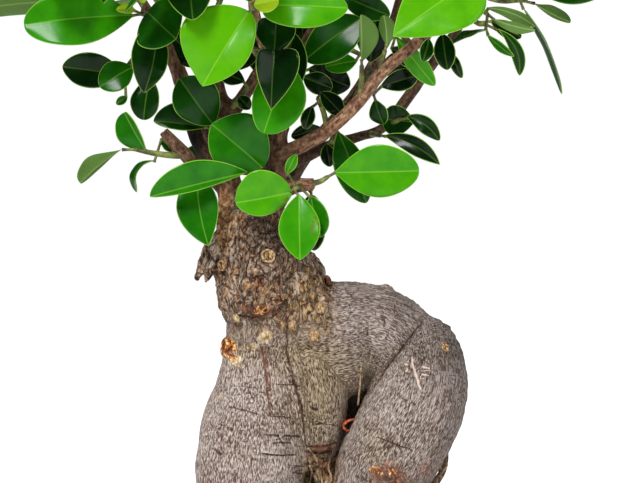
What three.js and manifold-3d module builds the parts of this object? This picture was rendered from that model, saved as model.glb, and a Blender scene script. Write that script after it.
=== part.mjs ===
// A ficus ginseng bonsai: a fig grown for its swollen roots, which stand like legs on the soil of a plain
// oval pot, with a rough grafted neck above them and a crown of glossy leaves on short branches.
// Millimetres, +Z up. The origin is on the table under the middle of the pot, and the front faces -Y.
import * as THREE from 'three';
import { mergeVertices } from 'three/addons/utils/BufferGeometryUtils.js';
import Module from 'manifold-3d';

const wasm = await Module();
wasm.setup();

// Driving dimensions.
const clearance = 0.3;
const pot = {
  halfLength: 92, halfWidth: 70, height: 64, baseShare: 0.82, roundness: 2.5, sides: 28,
  wall: 5.5, floorLow: 6, floorHigh: 12, lipOut: 3.5, lipHigh: 8,
  footOut: 0.62, footHalf: 13, footSides: 12, holeAt: 34, holeRadius: 5.5, holeSides: 12,
};
const soil = { edge: 56, crest: 5.5, rings: 3 };
const drainMesh = { side: 24, thick: 1.2, openings: 2, bar: 2 };
const leafThick = 0.8;
const petioleRadius = 0.75;
const stemSides = 4;

// The plant was measured in a front view by an eye this far off, level with eye.z. A point off the plane
// y = 0 is drawn in towards the line of sight, so it still lies where the view shows it.
const eye = { x: 4.8, z: 190.6, distance: 1500 };

const range = (count) => Array.from({ length: count }, (_, i) => i);
const radians = THREE.MathUtils.degToRad;
const depthScale = (y) => (eye.distance + y) / eye.distance;

function seen([x, y, z]) {
  const k = depthScale(y);
  return new THREE.Vector3(eye.x + (x - eye.x) * k, y, eye.z + (z - eye.z) * k);
}

// Closed meshes to solids and back.
function toSolid(positions, indices) {
  return new wasm.Manifold(new wasm.Mesh({
    numProp: 3,
    vertProperties: new Float32Array(positions),
    triVerts: new Uint32Array(indices),
  }));
}

function geometryToSolid(geometry) {
  const bare = geometry.clone();
  bare.deleteAttribute('normal');
  bare.deleteAttribute('uv');
  const merged = mergeVertices(bare);
  return toSolid(merged.attributes.position.array, merged.index.array);
}

function toGeometry(solid) {
  const made = solid.getMesh();
  const geometry = new THREE.BufferGeometry();
  geometry.setAttribute('position', new THREE.BufferAttribute(made.vertProperties, made.numProp));
  geometry.setIndex(new THREE.BufferAttribute(made.triVerts, 1));
  geometry.computeVertexNormals();
  return geometry;
}

const join = (solids) => solids.reduce((all, one) => all.add(one));

// Where a cut leaves scraps, the largest body is the piece.
function largest(solid) {
  return solid.decompose().sort((a, b) => b.volume() - a.volume())[0];
}

// A closed skin over rings of points, each ring turning to the right about the way the rings run.
function loft(rings) {
  const count = rings[0].length;
  const points = rings.flat();
  const middle = (ring) => ring.reduce((sum, p) => sum.add(p), new THREE.Vector3()).divideScalar(count);
  const first = points.push(middle(rings[0])) - 1;
  const last = points.push(middle(rings.at(-1))) - 1;
  const indices = [];
  for (let i = 0; i < count; i++) {
    const next = (i + 1) % count;
    for (let k = 0; k + 1 < rings.length; k++) {
      const low = k * count;
      const high = low + count;
      indices.push(low + i, low + next, high + next, low + i, high + next, high + i);
    }
    const top = (rings.length - 1) * count;
    indices.push(first, next, i, last, top + i, top + next);
  }
  return toSolid(points.flatMap((p) => [p.x, p.y, p.z]), indices);
}

// A limb is a round or oval bar along a smooth path. Each station is [x, y, z, half its width across the
// front view, half its depth]. `grow` thickens it, for the gap that a neighbour keeps.
function limbCurves(stations) {
  const centre = stations.map((s) => seen(s));
  const halves = stations.map((s) => new THREE.Vector3(s[3], s[4] ?? s[3], 0));
  return [
    new THREE.CatmullRomCurve3(centre, false, 'catmullrom', 0.5),
    new THREE.CatmullRomCurve3(halves, false, 'catmullrom', 0.5),
  ];
}

function limb(stations, sides, steps, grow = 0) {
  const [centre, halves] = limbCurves(stations);
  const rings = [];
  let across = null;
  for (let k = 0; k <= steps; k++) {
    const t = k / steps;
    const along = centre.getTangent(t);
    const flat = new THREE.Vector3(0, 1, 0).cross(along);
    if (across === null) across = flat.length() > 0.3 ? flat : new THREE.Vector3(0, 0, 1).cross(along);
    across = across.clone().addScaledVector(along, -across.dot(along)).normalize();
    const deep = along.clone().cross(across);
    const half = halves.getPoint(t);
    const ring = [];
    for (let i = 0; i < sides; i++) {
      const turn = (2 * Math.PI * i) / sides;
      ring.push(centre.getPoint(t)
        .addScaledVector(across, (half.x + grow) * Math.cos(turn))
        .addScaledVector(deep, (half.y + grow) * Math.sin(turn)));
    }
    rings.push(ring);
  }
  return loft(rings);
}

// The wood: swollen roots, the grafted neck, pruned stubs and the branches, grown together as one piece.
const roots = {
  left: { sides: 12, steps: 10, stations: [
    [-20, 0, 158, 9, 9], [-21.5, -2, 148, 12.5, 12.5], [-22, -3, 138, 14.8, 14.5],
    [-22, -3, 129, 17.2, 16.5], [-22.5, -3, 119, 19.7, 18.5], [-23.2, -3, 109, 21.4, 20],
    [-23.8, -3, 99, 21.8, 20.5], [-24.3, -3, 88, 20.6, 19.5], [-25, -2, 76, 17, 16.5], [-26, -1, 64, 13, 13],
    [-27, 0, 52, 9, 9], [-28, 1, 40, 5.5, 5.5], [-28, 1, 32, 3, 3]] },
  middle: { sides: 10, steps: 10, stations: [
    [0, -2, 158, 10, 10], [2, -3, 146, 12, 13], [3.6, -4, 136, 11.2, 13], [5, -4, 128, 10.2, 12.5],
    [5.6, -3.5, 120, 8.6, 11.5], [5, -3, 113, 7, 10], [4.8, -1, 106, 5.8, 8.5], [4.5, 1, 100, 5.4, 7.5],
    [5, 2, 90, 6.8, 8], [5, 3, 77, 6.5, 7], [4, 3, 64, 5, 5.5], [3, 3, 48, 3, 3]] },
  crackWeb: { sides: 8, steps: 5, stations: [
    [-8, -2, 152, 9, 14], [-7.5, -4, 140, 8, 12.5], [-5.5, -5, 130, 7, 10.5], [-3.5, -5, 120, 5.5, 8.5],
    [-2, -4, 110, 4, 6.5], [-1, -3, 100, 3, 5]] },
  shoulderWeb: { sides: 8, steps: 4, stations: [
    [4, 1, 152, 14, 16], [12, 0, 145, 12.5, 15], [16.5, 0, 138, 8.5, 13], [18, 1, 132.5, 5, 9.5]] },
  shoulder: { sides: 12, steps: 7, stations: [
    [-8, 2, 150, 20, 17], [2, 2, 150.5, 22.5, 19], [12, 2, 151.5, 23.2, 20], [22, 2, 152.8, 21.4, 20],
    [30, 1, 151.4, 19.6, 19.5], [37, 0, 146.5, 17.4, 17.5], [43, -2, 139, 16, 16], [46, -4, 129, 12, 12]] },
  right: { sides: 12, steps: 10, stations: [
    [42, 0, 158, 5, 5], [45, -4, 151, 12.5, 11], [45.6, -7, 142, 16.6, 15.5], [44.5, -9, 131, 18.9, 17.5],
    [38.5, -9, 117, 19.9, 18.5], [31.5, -8, 103, 19.4, 18.5], [26.5, -7, 91, 17.4, 17],
    [23, -5, 78, 14, 14], [21.5, -3, 65, 10.5, 10.5], [21, -1, 52, 7, 7], [21, 0, 38, 3.5, 3.5]] },
  backRight: { sides: 9, steps: 7, stations: [
    [2, 8, 156, 10, 10], [12, 15, 143, 13, 12], [20, 20, 128, 14, 13], [22, 22, 112, 13.5, 12.5],
    [18, 22, 96, 12, 11.5], [12, 20, 80, 10, 9.5], [8, 18, 64, 7.5, 7.5], [6, 16, 46, 4, 4]] },
  backLeft: { sides: 9, steps: 7, stations: [
    [-14, 8, 156, 10, 10], [-20, 16, 142, 12.5, 12], [-28, 21, 126, 12.5, 12], [-33, 23, 110, 12, 11.5],
    [-34, 22, 94, 11, 10.5], [-32, 20, 78, 9.5, 9], [-30, 19, 62, 7.5, 7.5], [-30, 18, 46, 4, 4]] },
  sideRootlet: { sides: 5, steps: 7, stations: [
    [52, -6, 113, 1.2], [54.2, -6, 106, 1.3], [53.2, -7, 99, 1.4], [50.2, -8, 94, 1.6], [46, -9, 86, 1.6],
    [42, -9, 74, 1.5], [39, -8, 60, 1.3], [38, -8, 50, 1]] },
};
const neck = {
  graft: { sides: 12, steps: 9, stations: [
    [-14, 0, 140, 15, 13], [-14, 0, 150, 19.3, 17], [-13.2, 0, 158, 19.4, 18], [-14, 0, 165, 20.4, 19.5],
    [-15.6, 0, 172, 22, 20.5], [-18.8, 0, 178.5, 20, 19], [-22, 0, 186, 17, 16], [-24, 0, 195, 13.8, 13.5],
    [-24.5, 0, 203, 11.3, 11], [-24, 0, 209, 6, 6]] },
  tornBark: { sides: 5, steps: 4, stations: [
    [-37, -2, 191, 3.2], [-40.4, -3, 186.5, 2.6], [-43, -3, 181, 2], [-45.4, -3, 175.4, 0.7]] },
  tornBarkLow: { sides: 5, steps: 4, stations: [
    [-36, -4, 186, 2.6], [-38.6, -5, 181.5, 2.2], [-41, -5, 177, 1.4], [-42, -5, 173.8, 0.6]] },
};
const branches = {
  leftFork: { steps: 6, stations: [
    [-29, 0, 196, 8], [-31, 0, 206, 5.6], [-32, 0, 214, 4.6], [-34, 4, 226, 3.8], [-34, 8, 240, 3.4],
    [-31, 10, 246, 2.6]] },
  leftTop: { steps: 6, stations: [
    [-34, 8, 236, 2.8], [-37, 8, 254, 2.7], [-41, 6, 270, 2.4], [-45, 2, 288, 2], [-46.5, -2, 304, 1.5]] },
  innerTop: { steps: 6, stations: [
    [-34, 8, 238, 2.8], [-27, 12, 248, 2.7], [-18, 15, 263, 2.4], [-12, 14, 281, 2], [-8, 11, 301, 1.5]] },
  farLeft: { steps: 7, stations: [
    [-32, 1, 210, 3.4], [-39, 4, 221, 3], [-45.5, 6, 232, 2.8], [-50, 8, 248, 2.7], [-54.5, 6, 262, 2.5],
    [-60, 3, 275, 2.1], [-68, 4, 288, 1.8], [-76, 6, 301, 1.3]] },
  cutStub: { steps: 4, stations: [
    [-36, 0, 214, 3], [-44, -4, 219.5, 3], [-50, -7, 225.5, 2.8], [-55.5, -9, 231, 2.6],
    [-58.5, -10, 234.6, 2]] },
  rightStem: { steps: 7, stations: [
    [-18, 0, 196, 7], [-15, 0, 207, 5], [-13.2, 0, 216, 3.8], [-12.4, 0, 226, 3.3], [-11.5, 1, 238, 2.9],
    [-8, 6, 254, 2.6], [0, 12, 273, 2.3], [9, 14, 292, 1.8], [13.5, 13, 305, 1.4]] },
  rightMain: { steps: 8, stations: [
    [-13, 0, 225, 3], [-5, -6, 228.4, 3], [7, -11, 235, 2.7], [19, -15, 246, 2.6], [29, -17, 258.6, 2.5],
    [41, -18, 268.6, 2.4], [52, -18, 279, 2.1], [62, -15, 291, 1.8], [71, -11, 303, 1.2]] },
  rightLow: { steps: 8, stations: [
    [-13, 2, 219, 2.6], [-4, 6, 223.4, 2.5], [7, 10, 228.6, 2.3], [19, 12, 232.4, 2], [28.5, 12, 235.6, 2],
    [36, 13, 244, 2.3], [45, 14, 256.5, 2.2], [56, 13, 271, 1.9], [66, 13, 288, 1.5], [72, 13, 301, 1.1]] },
  backLeftBranch: { steps: 6, stations: [
    [-26, 4, 198, 5], [-34, 20, 220, 3.2], [-46, 32, 245, 2.7], [-56, 40, 270, 2.1], [-60, 40, 288, 1.4]] },
  backRightBranch: { steps: 6, stations: [
    [-18, 4, 200, 5], [-2, 24, 225, 3.2], [18, 37, 249, 2.7], [31, 44, 273, 2.1], [36, 45, 289, 1.4]] },
  lowStub: { steps: 4, stations: [
    [-17, 0, 205, 4], [-11, -6, 210.5, 3.3], [-5, -10, 213, 2.9], [1.5, -12, 213.6, 2.3]] },
  frontTop: { steps: 7, stations: [
    [-11.5, 1, 236, 2.8], [-13.5, -3, 252, 2.6], [-18, -11, 268, 2.4], [-22.5, -21, 284, 2.1],
    [-23, -22, 303, 1.5]] },
  backMiddleBranch: { steps: 6, stations: [
    [-21, 6, 198, 5], [-18, 28, 226, 3], [-14, 45, 252, 2.5], [-11, 54, 276, 2], [-10, 55, 293, 1.4]] },
};
const branchSides = 6;

// Pruned stubs and knobs on the neck: where each one's face is, its radius, and how far it stands out.
const stubs = [
  { at: [-17, -18.2, 185], radius: 2.7, out: 2.6 }, { at: [-36, -11.6, 182], radius: 2.4, out: 2 },
  { at: [-25, -18, 173.6], radius: 2, out: 2.2 }, { at: [-28.5, -14, 161], radius: 1.7, out: 1.6 },
  { at: [1.5, -16.5, 153], radius: 3, out: 2 }, { at: [-6.5, -18.4, 158], radius: 2.6, out: 1.2 },
  { at: [-3.5, -17.6, 173], radius: 4, out: 2 }, { at: [5.5, -9, 174.5], radius: 2.4, out: 1.2 },
  { at: [-32.5, -9.5, 148.5], radius: 4, out: 2.6 }, { at: [-19, -18, 152.5], radius: 3.4, out: 1.2 },
];
const stubDepth = 7;

const neckMiddle = { x: -16, y: 0 };

function stubStations({ at: [x, y, z], radius, out }) {
  const outward = new THREE.Vector2(x - neckMiddle.x, y - neckMiddle.y).normalize();
  const station = (d, r) => [x + outward.x * d, y + outward.y * d, z, r];
  return [station(-stubDepth, radius * 1.35), station(out, radius)];
}

function wood(grow = 0) {
  const fat = [...Object.values(roots), ...Object.values(neck)];
  const thin = Object.values(branches);
  return join([
    ...fat.map((l) => limb(l.stations, l.sides, l.steps, grow)),
    ...thin.map((l) => limb(l.stations, branchSides, l.steps, grow)),
    ...stubs.map((s) => limb(stubStations(s), 7, 1, grow)),
  ]);
}

// A leaf is a thin blade on a stalk. Its midrib runs from `from` to `to` and bows towards its upper face by
// `arch`, and its halves rise from the midrib by the angle `fold`. `roll` turns its face from the viewer, so
// that 180 shows its underside. Its form may be given besides: it is widest beyond its middle where `broad`
// is over 1, its ends are rounder the lower `foot` and `tip` are, `bend` bows it sideways, and `skew` widens
// one half.
const plainForm = { broad: 1.15, foot: 0.75, tip: 0.6, bend: 0, skew: 0 };
const leaf = (from, to, wide, roll = 0, arch = 2, fold = 10, form = {}) => {
  const start = seen(from);
  const end = seen(to);
  const along = end.clone().sub(start).normalize();
  const toEye = new THREE.Vector3(0, -1, 0);
  const face = toEye.addScaledVector(along, -toEye.dot(along)).normalize()
    .applyAxisAngle(along, radians(roll));
  return { ...plainForm, ...form, start, end, face, wide: wide * depthScale(from[1]), arch, fold };
};

const outline = (l, s) => Math.sin(Math.PI * s ** l.broad) ** (l.foot + (l.tip - l.foot) * s);

// The blade's middle surface: s runs along the midrib, c from -1 at one margin to 1 at the other.
function bladeFrame(l, s) {
  const chord = l.end.clone().sub(l.start);
  const bow = chord.clone().cross(l.face).normalize().multiplyScalar(4 * l.bend)
    .addScaledVector(l.face, 4 * l.arch);
  const rib = l.start.clone().addScaledVector(chord, s).addScaledVector(bow, s * (1 - s));
  const along = chord.addScaledVector(bow, 1 - 2 * s).normalize();
  const side = along.clone().cross(l.face).normalize();
  return { rib, side, up: side.clone().cross(along), half: (l.wide / 2) * outline(l, s) };
}

function bladePoint(l, s, c) {
  const { rib, side, up, half } = bladeFrame(l, s);
  const rise = radians(l.fold);
  const out = half * (1 + l.skew * Math.sign(c));
  return rib.addScaledVector(side, c * out * Math.cos(rise))
    .addScaledVector(up, Math.abs(c) * out * Math.sin(rise));
}

const bladeStations = [0.24, 0.54, 0.82];

function leafSolid(l, root) {
  const points = [];
  const triangle = (at, along) => {
    const side = along.clone().cross(l.face).normalize();
    const up = side.clone().cross(along);
    for (const [x, z] of [[-0.9, 0.5], [0.9, 0.5], [0, -1]]) {
      const corner = at.clone().addScaledVector(side, x * petioleRadius);
      points.push(corner.addScaledVector(up, z * petioleRadius));
    }
  };
  triangle(root, l.start.clone().sub(root).normalize());
  triangle(l.start, l.end.clone().sub(l.start).normalize());
  for (const s of bladeStations) {
    const { up } = bladeFrame(l, s);
    const edge = [-1, 0, 1].map((c) => bladePoint(l, s, c));
    for (const p of edge) points.push(p.clone().addScaledVector(up, leafThick / 2));
    for (const p of edge.reverse()) points.push(p.clone().addScaledVector(up, -leafThick / 2));
  }
  const tip = points.push(l.end.clone()) - 1;
  const indices = [0, 2, 1];
  for (let i = 0; i < 3; i++) indices.push(i, (i + 1) % 3, 3 + ((i + 1) % 3), i, 3 + ((i + 1) % 3), 3 + i);
  const [a, b, c, lt, mt, rt, rb, mb, lb] = [3, 4, 5, 6, 7, 8, 9, 10, 11];
  indices.push(a, mt, lt, a, b, mt, b, rt, mt, b, rb, rt, b, c, rb);
  indices.push(c, mb, rb, c, lb, mb, c, a, lb, a, lt, lb);
  for (let k = 0; k + 1 < bladeStations.length; k++) {
    const low = 6 + 6 * k;
    for (let i = 0; i < 6; i++) {
      const next = (i + 1) % 6;
      indices.push(low + i, low + next, low + 6 + next, low + i, low + 6 + next, low + 6 + i);
    }
  }
  const last = 6 + 6 * (bladeStations.length - 1);
  for (let i = 0; i < 6; i++) indices.push(last + i, last + ((i + 1) % 6), tip);
  return toSolid(points.flatMap((p) => [p.x, p.y, p.z]), indices);
}

// Leafy stems. Each one is a twig on a branch with its leaves, and each leaf's stalk starts at the nearest
// point of the twig.
const stems = {
  stub_right: { twig: [[0, -11.5, 213.6, 1.3], [4, -12.5, 214.6, 1.1], [7, -12, 216.4, 0.9]], leaves: [
    leaf([9.4, -12, 218.2], [43.7, -15, 218.9], 21.6, 5, 1.5, 8, { skew: -0.04, foot: 0.9, tip: 0.5 }),
  ] },
  stub_front: { twig: [[-3, -11, 213, 1.3], [-4.5, -14.5, 212.6, 1.1], [-6.5, -16.5, 211.6, 0.9]], leaves: [
    leaf([-4.5, -18, 209.5], [-4, -23.5, 183.2], 16.9, 0, 1, 8, { broad: 1.1, tip: 0.75 }),
    leaf([-7.4, -17, 210.4], [-29.8, -21, 206.1], 18.8, -8, 2, 8, { skew: 0.25, foot: 0.5 }),
    leaf([0.3, -15.5, 208.5], [4.5, -17, 192.3], 9.4, 10, 1, 12, { skew: -0.2, foot: 0.5 }),
    leaf([-9.5, -14.5, 217.5], [-5.5, -16.5, 225.5], 4.5, 0, 1, 10),
  ] },
  stub_under: { twig: [[-1, -10.5, 212.6, 1.2], [0, -10.5, 211.4, 1.1], [0.4, -10.5, 210.4, 0.9]], leaves: [
    leaf([0.6, -10.4, 209.3], [1.8, -10.8, 186.9], 11.5, 15, 0.5, 8, { foot: 0.4 }),
  ] },
  fork_left: { twig: [[-30, -3, 209, 1.4], [-26, -10, 214.5, 1.2], [-22, -12.5, 217.6, 0.9]], leaves: [
    leaf([-18.8, -12, 220], [-39.4, -17, 237.5], 25, 5, 2, 6, { foot: 0.42, tip: 0.7, skew: 0.1 }),
    leaf([-25, -18, 218.3], [-64, -22, 208.5], 12.4, -8, 2, 10, { skew: 0.6, bend: 0.5 }),
  ] },
  neck_left: { twig: [[-33, -1, 213, 1.4], [-39, -8, 218, 1.2], [-45, -10, 220, 0.9]], leaves: [
    leaf([-45.2, -12, 217], [-40.6, -18, 188.9], 17, 5, 1, 6,
      { broad: 0.85, bend: 1, skew: 0.08, tip: 0.8 }),
  ] },
  inner_left: { twig: [[-34, 7, 232, 1.3], [-38, 2, 235, 1.1], [-40, -1, 236.5, 0.9]], leaves: [
    leaf([-41.3, 1, 236.2], [-62.6, -1, 238.8], 11.5, 12, 1.5, 12, { skew: 0.45 }),
    leaf([-38.9, -4, 237.6], [-52, -6, 255.6], 19.4, -5, 2, 8, { foot: 0.55, skew: 0.08 }),
  ] },
  inner_back: { twig: [[-36, 7, 226, 1.3], [-37, 12, 228, 1.1], [-38, 14, 229, 0.8]], leaves: [
    leaf([-39.5, 14, 228], [-50.3, 12, 221.5], 9.5, 10, 1, 10),
  ] },
  inner_top: { twig: [[-33, 8, 242, 1.2], [-28, 5, 248, 1.1], [-25, 3, 252, 0.9]], leaves: [
    leaf([-26, 1, 254.5], [-37.5, -1, 258.5], 8.5, 20, 1, 10),
    leaf([-28.4, 1, 248.6], [-24, -2, 243.5], 6, 0, 1, 10),
  ] },
  pruned_stub: {
    twig: [[-50, -7.5, 225, 1.5], [-56, -9, 225.1, 1.3], [-63, -9, 226, 1.1], [-70, -9, 227.4, 0.8]],
    leaves: [
      leaf([-65.4, -9, 226.8], [-74.2, -7, 242.3], 9.8, -20, 1, 10, { skew: -0.5, tip: 0.35 }),
      leaf([-74.6, -9, 227.8], [-92, -13, 214], 7.4, 150, 2, 10, { skew: -0.5, broad: 1.9, tip: 0.4 }),
      leaf([-61.9, -10, 223.1], [-69.3, -12, 210.3], 8, 65, 4.6, 12, { broad: 1.3 }),
      leaf([-60, -5, 232], [-54, -3, 227], 5, 0, 1, 10),
    ],
  },
  outer_left: {
    twig: [[-55, 6, 263, 1.5], [-62, 0, 267, 1.3], [-70, -2, 264, 1.1], [-74, 0, 259, 0.9]],
    leaves: [
      leaf([-75.5, 2, 257.3], [-99, 6, 260.5], 14.6, 0, 2, 10, { broad: 1, foot: 0.6 }),
      leaf([-71, -5, 260.3], [-84, -8, 252.3], 13, 10, 1.5, 10, { foot: 0.6 }),
      leaf([-63.5, 1, 257.5], [-66.5, -2, 239.2], 12.4, 15, 1.5, 10, { broad: 1.4, tip: 0.5 }),
      leaf([-61.5, -9, 272], [-66.4, -15, 250], 18, -20, 3, 24,
        { skew: 0.35, broad: 0.8, foot: 0.4, tip: 0.8 }),
      leaf([-73, 1, 248.5], [-77.5, 0, 245.5], 3.6, 0, 1, 10),
    ],
  },
  outer_tip: { twig: [[-62, 3, 278, 1.3], [-65, -4, 281, 1.1], [-67.2, -11, 281.6, 0.9]], leaves: [
    leaf([-65, -12, 282.5], [-53.6, -30, 271.6], 23.5, 5, 1.5, 6, { foot: 0.5 }),
    leaf([-70.4, -13, 281], [-114.4, -18, 277.2], 23.8, 12, 3, 10, { foot: 0.8, tip: 0.48 }),
    leaf([-69.8, -16, 283], [-77.5, -20, 283.3], 4.6, 20, 1, 14),
    leaf([-67, -15, 285.5], [-66, -19, 296], 5.5, 0, 1, 14),
  ] },
  outer_far: { twig: [[-70, 4, 291, 1.4], [-82, 6, 290, 1.1], [-92, 6, 288, 0.8]], leaves: [
    leaf([-98, 5, 286.5], [-134.5, 2, 283], 15, 140, 2, 12),
    leaf([-90, 9, 294], [-118, 16, 308], 17, 10, 3, 10),
  ] },
  front_top: { twig: [[-22.3, -21.5, 283, 1.4], [-23, -27, 284, 1.1], [-22.6, -31, 284.5, 0.9]], leaves: [
    leaf([-24.5, -33, 282.7], [-43, -38, 252.7], 30, 5, 3, 8,
      { skew: 0.3, broad: 1, foot: 0.55, tip: 0.85 }),
    leaf([-22.5, -38, 285], [-12.5, -41, 287.3], 8.5, 0, 1, 14, { tip: 0.5 }),
    leaf([-19, -33, 285], [15.2, -38, 283.9], 18.8, -5, 3, 10, { broad: 0.95, foot: 0.38 }),
  ] },
  front_middle: { twig: [[-18.5, -12, 269, 1.2], [-16, -17, 276, 1.1], [-14, -20, 279.5, 0.8]], leaves: [
    leaf([-13.5, -20.5, 279], [-14.4, -25, 264.6], 17, 0, 2, 16, { broad: 0.7, foot: 0.5, tip: 0.95 }),
  ] },
  front_low: { twig: [[-16.5, -9, 262, 1.2], [-21, -18, 265, 1.1], [-23, -27, 268, 0.9]], leaves: [
    leaf([-14.6, -31, 267], [-15.6, -34, 243], 19.5, 0, 1.5, 26,
      { skew: -0.22, broad: 0.5, foot: 0.42, tip: 0.95 }),
  ] },
  front_inner: { twig: [[-14, -5, 254, 1.2], [-11, -11, 262, 1.1], [-10, -16, 267, 0.9]], leaves: [
    leaf([-6.5, -14, 274], [-11.9, -14, 244.6], 16, 10, 2, 12, { skew: -0.1, broad: 0.9, tip: 0.8 }),
    leaf([-8.6, -20, 263], [-18.5, -27, 233.9], 21.5, 0, 2.5, 8, { skew: -0.15, tip: 0.5 }),
  ] },
  centre_right: { twig: [[-7, 7, 256, 1.3], [-5, 2, 260, 1.1], [-3, -2, 262, 0.9]], leaves: [
    leaf([-1.8, -4, 263.3], [20.3, -8, 279.8], 17.6, -10, 2, 10, { foot: 0.45, skew: 0.08 }),
    leaf([-3, 0, 256.5], [9, -1, 252], 9.5, 10, 1, 10),
  ] },
  centre_back: {
    twig: [[-1, 11.5, 271, 1.3], [8, 10, 272, 1.2], [15, 8, 268, 1.1], [20, 6, 265.5, 0.9]],
    leaves: [
      leaf([19, 5, 262.8], [6, 3, 260.3], 9, 15, 1, 10),
    ],
  },
  centre_top: { twig: [[8, 14, 290, 1.2], [9, 10, 291, 1.1], [10, 6, 291, 0.9]], leaves: [
    leaf([12, 4, 289.5], [32, 2, 281], 11, 10, 2, 10),
    leaf([8, -1, 294], [-18, -8, 304], 17, 0, 2, 10),
  ] },
  arm_upright: { twig: [[20, -15, 247, 1.3], [20.6, -18, 255, 1.1], [20.7, -19, 261, 0.9]], leaves: [
    leaf([20.6, -20, 262.5], [20.3, -25, 281.3], 8, 165, 1, 8, { skew: -0.72 }),
  ] },
  arm_fork: { twig: [[27, -17, 256, 1.3], [28.5, -18, 262, 1.1], [30, -19, 267, 0.9]], leaves: [
    leaf([30.8, -20, 269], [29.6, -24, 281], 8, 150, 1, 12),
  ] },
  arm_inner: { twig: [[7, -11, 235, 1.2], [5.5, -8, 242, 1.1], [3, -6, 248, 0.8]], leaves: [
    leaf([4, -5, 250.5], [13, -7, 241], 8.5, -15, 1, 10),
    leaf([1, -6, 245], [-2, -7, 235.5], 6, 10, 1, 10),
  ] },
  arm_under: { twig: [[23, -16, 250, 1.2], [24.5, -11, 250.5, 1], [25.4, -8, 249.5, 0.8]], leaves: [
    leaf([26, -6, 247.5], [29.5, -5, 237.5], 8, 20, 1, 12),
    leaf([28, -5, 252.5], [43, -2, 257], 9, 0, 2, 10),
  ] },
  arm_back: { twig: [[41, -18, 268.6, 1.4], [38, -14, 272, 1.2], [34, -12, 275, 0.9]], leaves: [
    leaf([34.5, -10, 272.5], [50, -8, 253], 8.4, 10, 2, 10),
    leaf([32, -8, 268], [45, -4, 260.5], 9, -10, 2, 10),
  ] },
  arm_front: { twig: [[47, -18, 274, 1.3], [50, -23, 276, 1.1], [52, -25, 275.5, 0.9]], leaves: [
    leaf([53, -27, 273.3], [55, -31, 259.2], 9, 5, 1.5, 14, { foot: 0.5 }),
    leaf([47.5, -24, 272], [45, -26, 262.5], 6, -15, 1, 14),
    leaf([57, -22, 266], [60.9, -24, 256], 4.6, 20, 1.5, 10),
  ] },
  arm_right: { twig: [[58, -16, 286, 1.4], [66, -21, 285, 1.2], [71, -20, 281.5, 0.9]], leaves: [
    leaf([71, -21, 275.3], [56, -22, 269.2], 9, 72, 1, 8),
    leaf([73, -20, 279.5], [90, -26, 275], 5.6, 145, 1, 8),
    leaf([70.5, -16, 284], [90, -18, 276.5], 5.6, 150, 1, 8, { bend: 2.5 }),
  ] },
  arm_tip: { twig: [[62, -15, 291, 1.4], [66, -24, 294, 1.2], [69, -31, 297, 0.9]], leaves: [
    leaf([66, -34, 295.5], [33.3, -42, 272.6], 30.5, 8, 3, 8, { broad: 0.62, foot: 0.6, tip: 0.85 }),
    leaf([72, -33, 299], [104, -40, 304], 16, 0, 2, 10),
  ] },
  low_fork: { twig: [[29, 12, 236, 1.3], [33, 6, 238, 1.1], [36, 3, 239.5, 0.9]], leaves: [
    leaf([29.8, 7, 239.5], [42, 4, 238.5], 12.5, 5, 1, 10, { broad: 0.75, foot: 0.4, tip: 0.9 }),
    leaf([38.5, 0, 240.6], [51.8, -4, 231], 7, 10, 1.5, 10, { bend: -2 }),
  ] },
  low_middle: { twig: [[24, 12, 234, 1.3], [26, 6, 233.4, 1.1], [28, 2, 233, 0.9]], leaves: [
    leaf([29.5, -1, 233], [52, -8, 221.3], 7.6, 0, 2, 10, { bend: -2, tip: 0.8 }),
  ] },
  low_inner: { twig: [[8, 10, 229, 1.3], [9.5, 6, 233, 1.1], [10.5, 4, 237, 0.8]], leaves: [
    leaf([11.2, 2, 234.6], [22.5, -2, 206], 14, -8, 2, 10, { skew: 0.15 }),
    leaf([6.5, 4.5, 230], [8, 4, 220.5], 6.5, 0, 1, 10),
    leaf([5, 6, 236], [-7.5, 4, 232.5], 7, 0, 1, 10),
  ] },
  right_fork: { twig: [[67, 13, 290, 1.5], [76, 8, 287, 1.2], [84, 4, 287, 0.9]], leaves: [
    leaf([85, 6, 284.3], [100.8, 12, 249.5], 6.5, 70, -3, 12, { bend: 0.8 }),
    leaf([88.5, 1, 292.5], [118.5, -2, 291.3], 13, 5, 2, 10),
    leaf([89, 9, 286.2], [104.2, 13, 278.2], 6, 150, 1, 8, { skew: 0.6, broad: 1.7, tip: 0.45 }),
    leaf([90, 3, 297], [134.5, 4, 302], 17, 0, 4, 10),
  ] },
  right_low: { twig: [[63, 13, 282, 1.4], [67, 8, 278, 1.1], [70, 5, 277.5, 0.9]], leaves: [
    leaf([70.6, 2, 273.6], [81.6, -2, 264.7], 4, 30, 1, 10),
    leaf([74.5, 7, 276], [83.8, 9, 257], 5.6, 10, 0, 8, { bend: -3.4, broad: 1.4 }),
    leaf([72, 12, 279], [84.5, 13, 272.2], 7, 0, 1, 10),
  ] },
  back_inner_left: { twig: [[-44.5, 31, 243, 1.4], [-40, 27, 250, 1.2], [-38, 25, 256, 0.9]], leaves: [
    leaf([-35, 23, 259], [-21, 22, 273], 13, 10, 2, 10),
    leaf([-41, 23, 260], [-58, 22, 275], 14, 0, 2, 10),
  ] },
  back_inner_middle: { twig: [[-14, 43.5, 250, 1.4], [-8, 36, 254, 1.2], [-4, 32, 258, 0.9]], leaves: [
    leaf([-0.5, 30, 260], [16, 27, 252.5], 14, 10, 2, 10),
    leaf([-4, 28, 262], [-2, 25, 286], 16, 0, 2, 10),
    leaf([-10, 30, 258], [-25, 28, 268], 13, 0, 2, 10),
  ] },
  back_inner_right: { twig: [[17, 36, 246, 1.4], [21, 30, 253, 1.2], [24, 27, 258, 0.9]], leaves: [
    leaf([27, 25, 259.5], [46, 23, 263], 12, 0, 2, 10),
    leaf([24, 24, 262], [27, 21, 284], 15, 0, 2, 10),
  ] },
};

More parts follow.
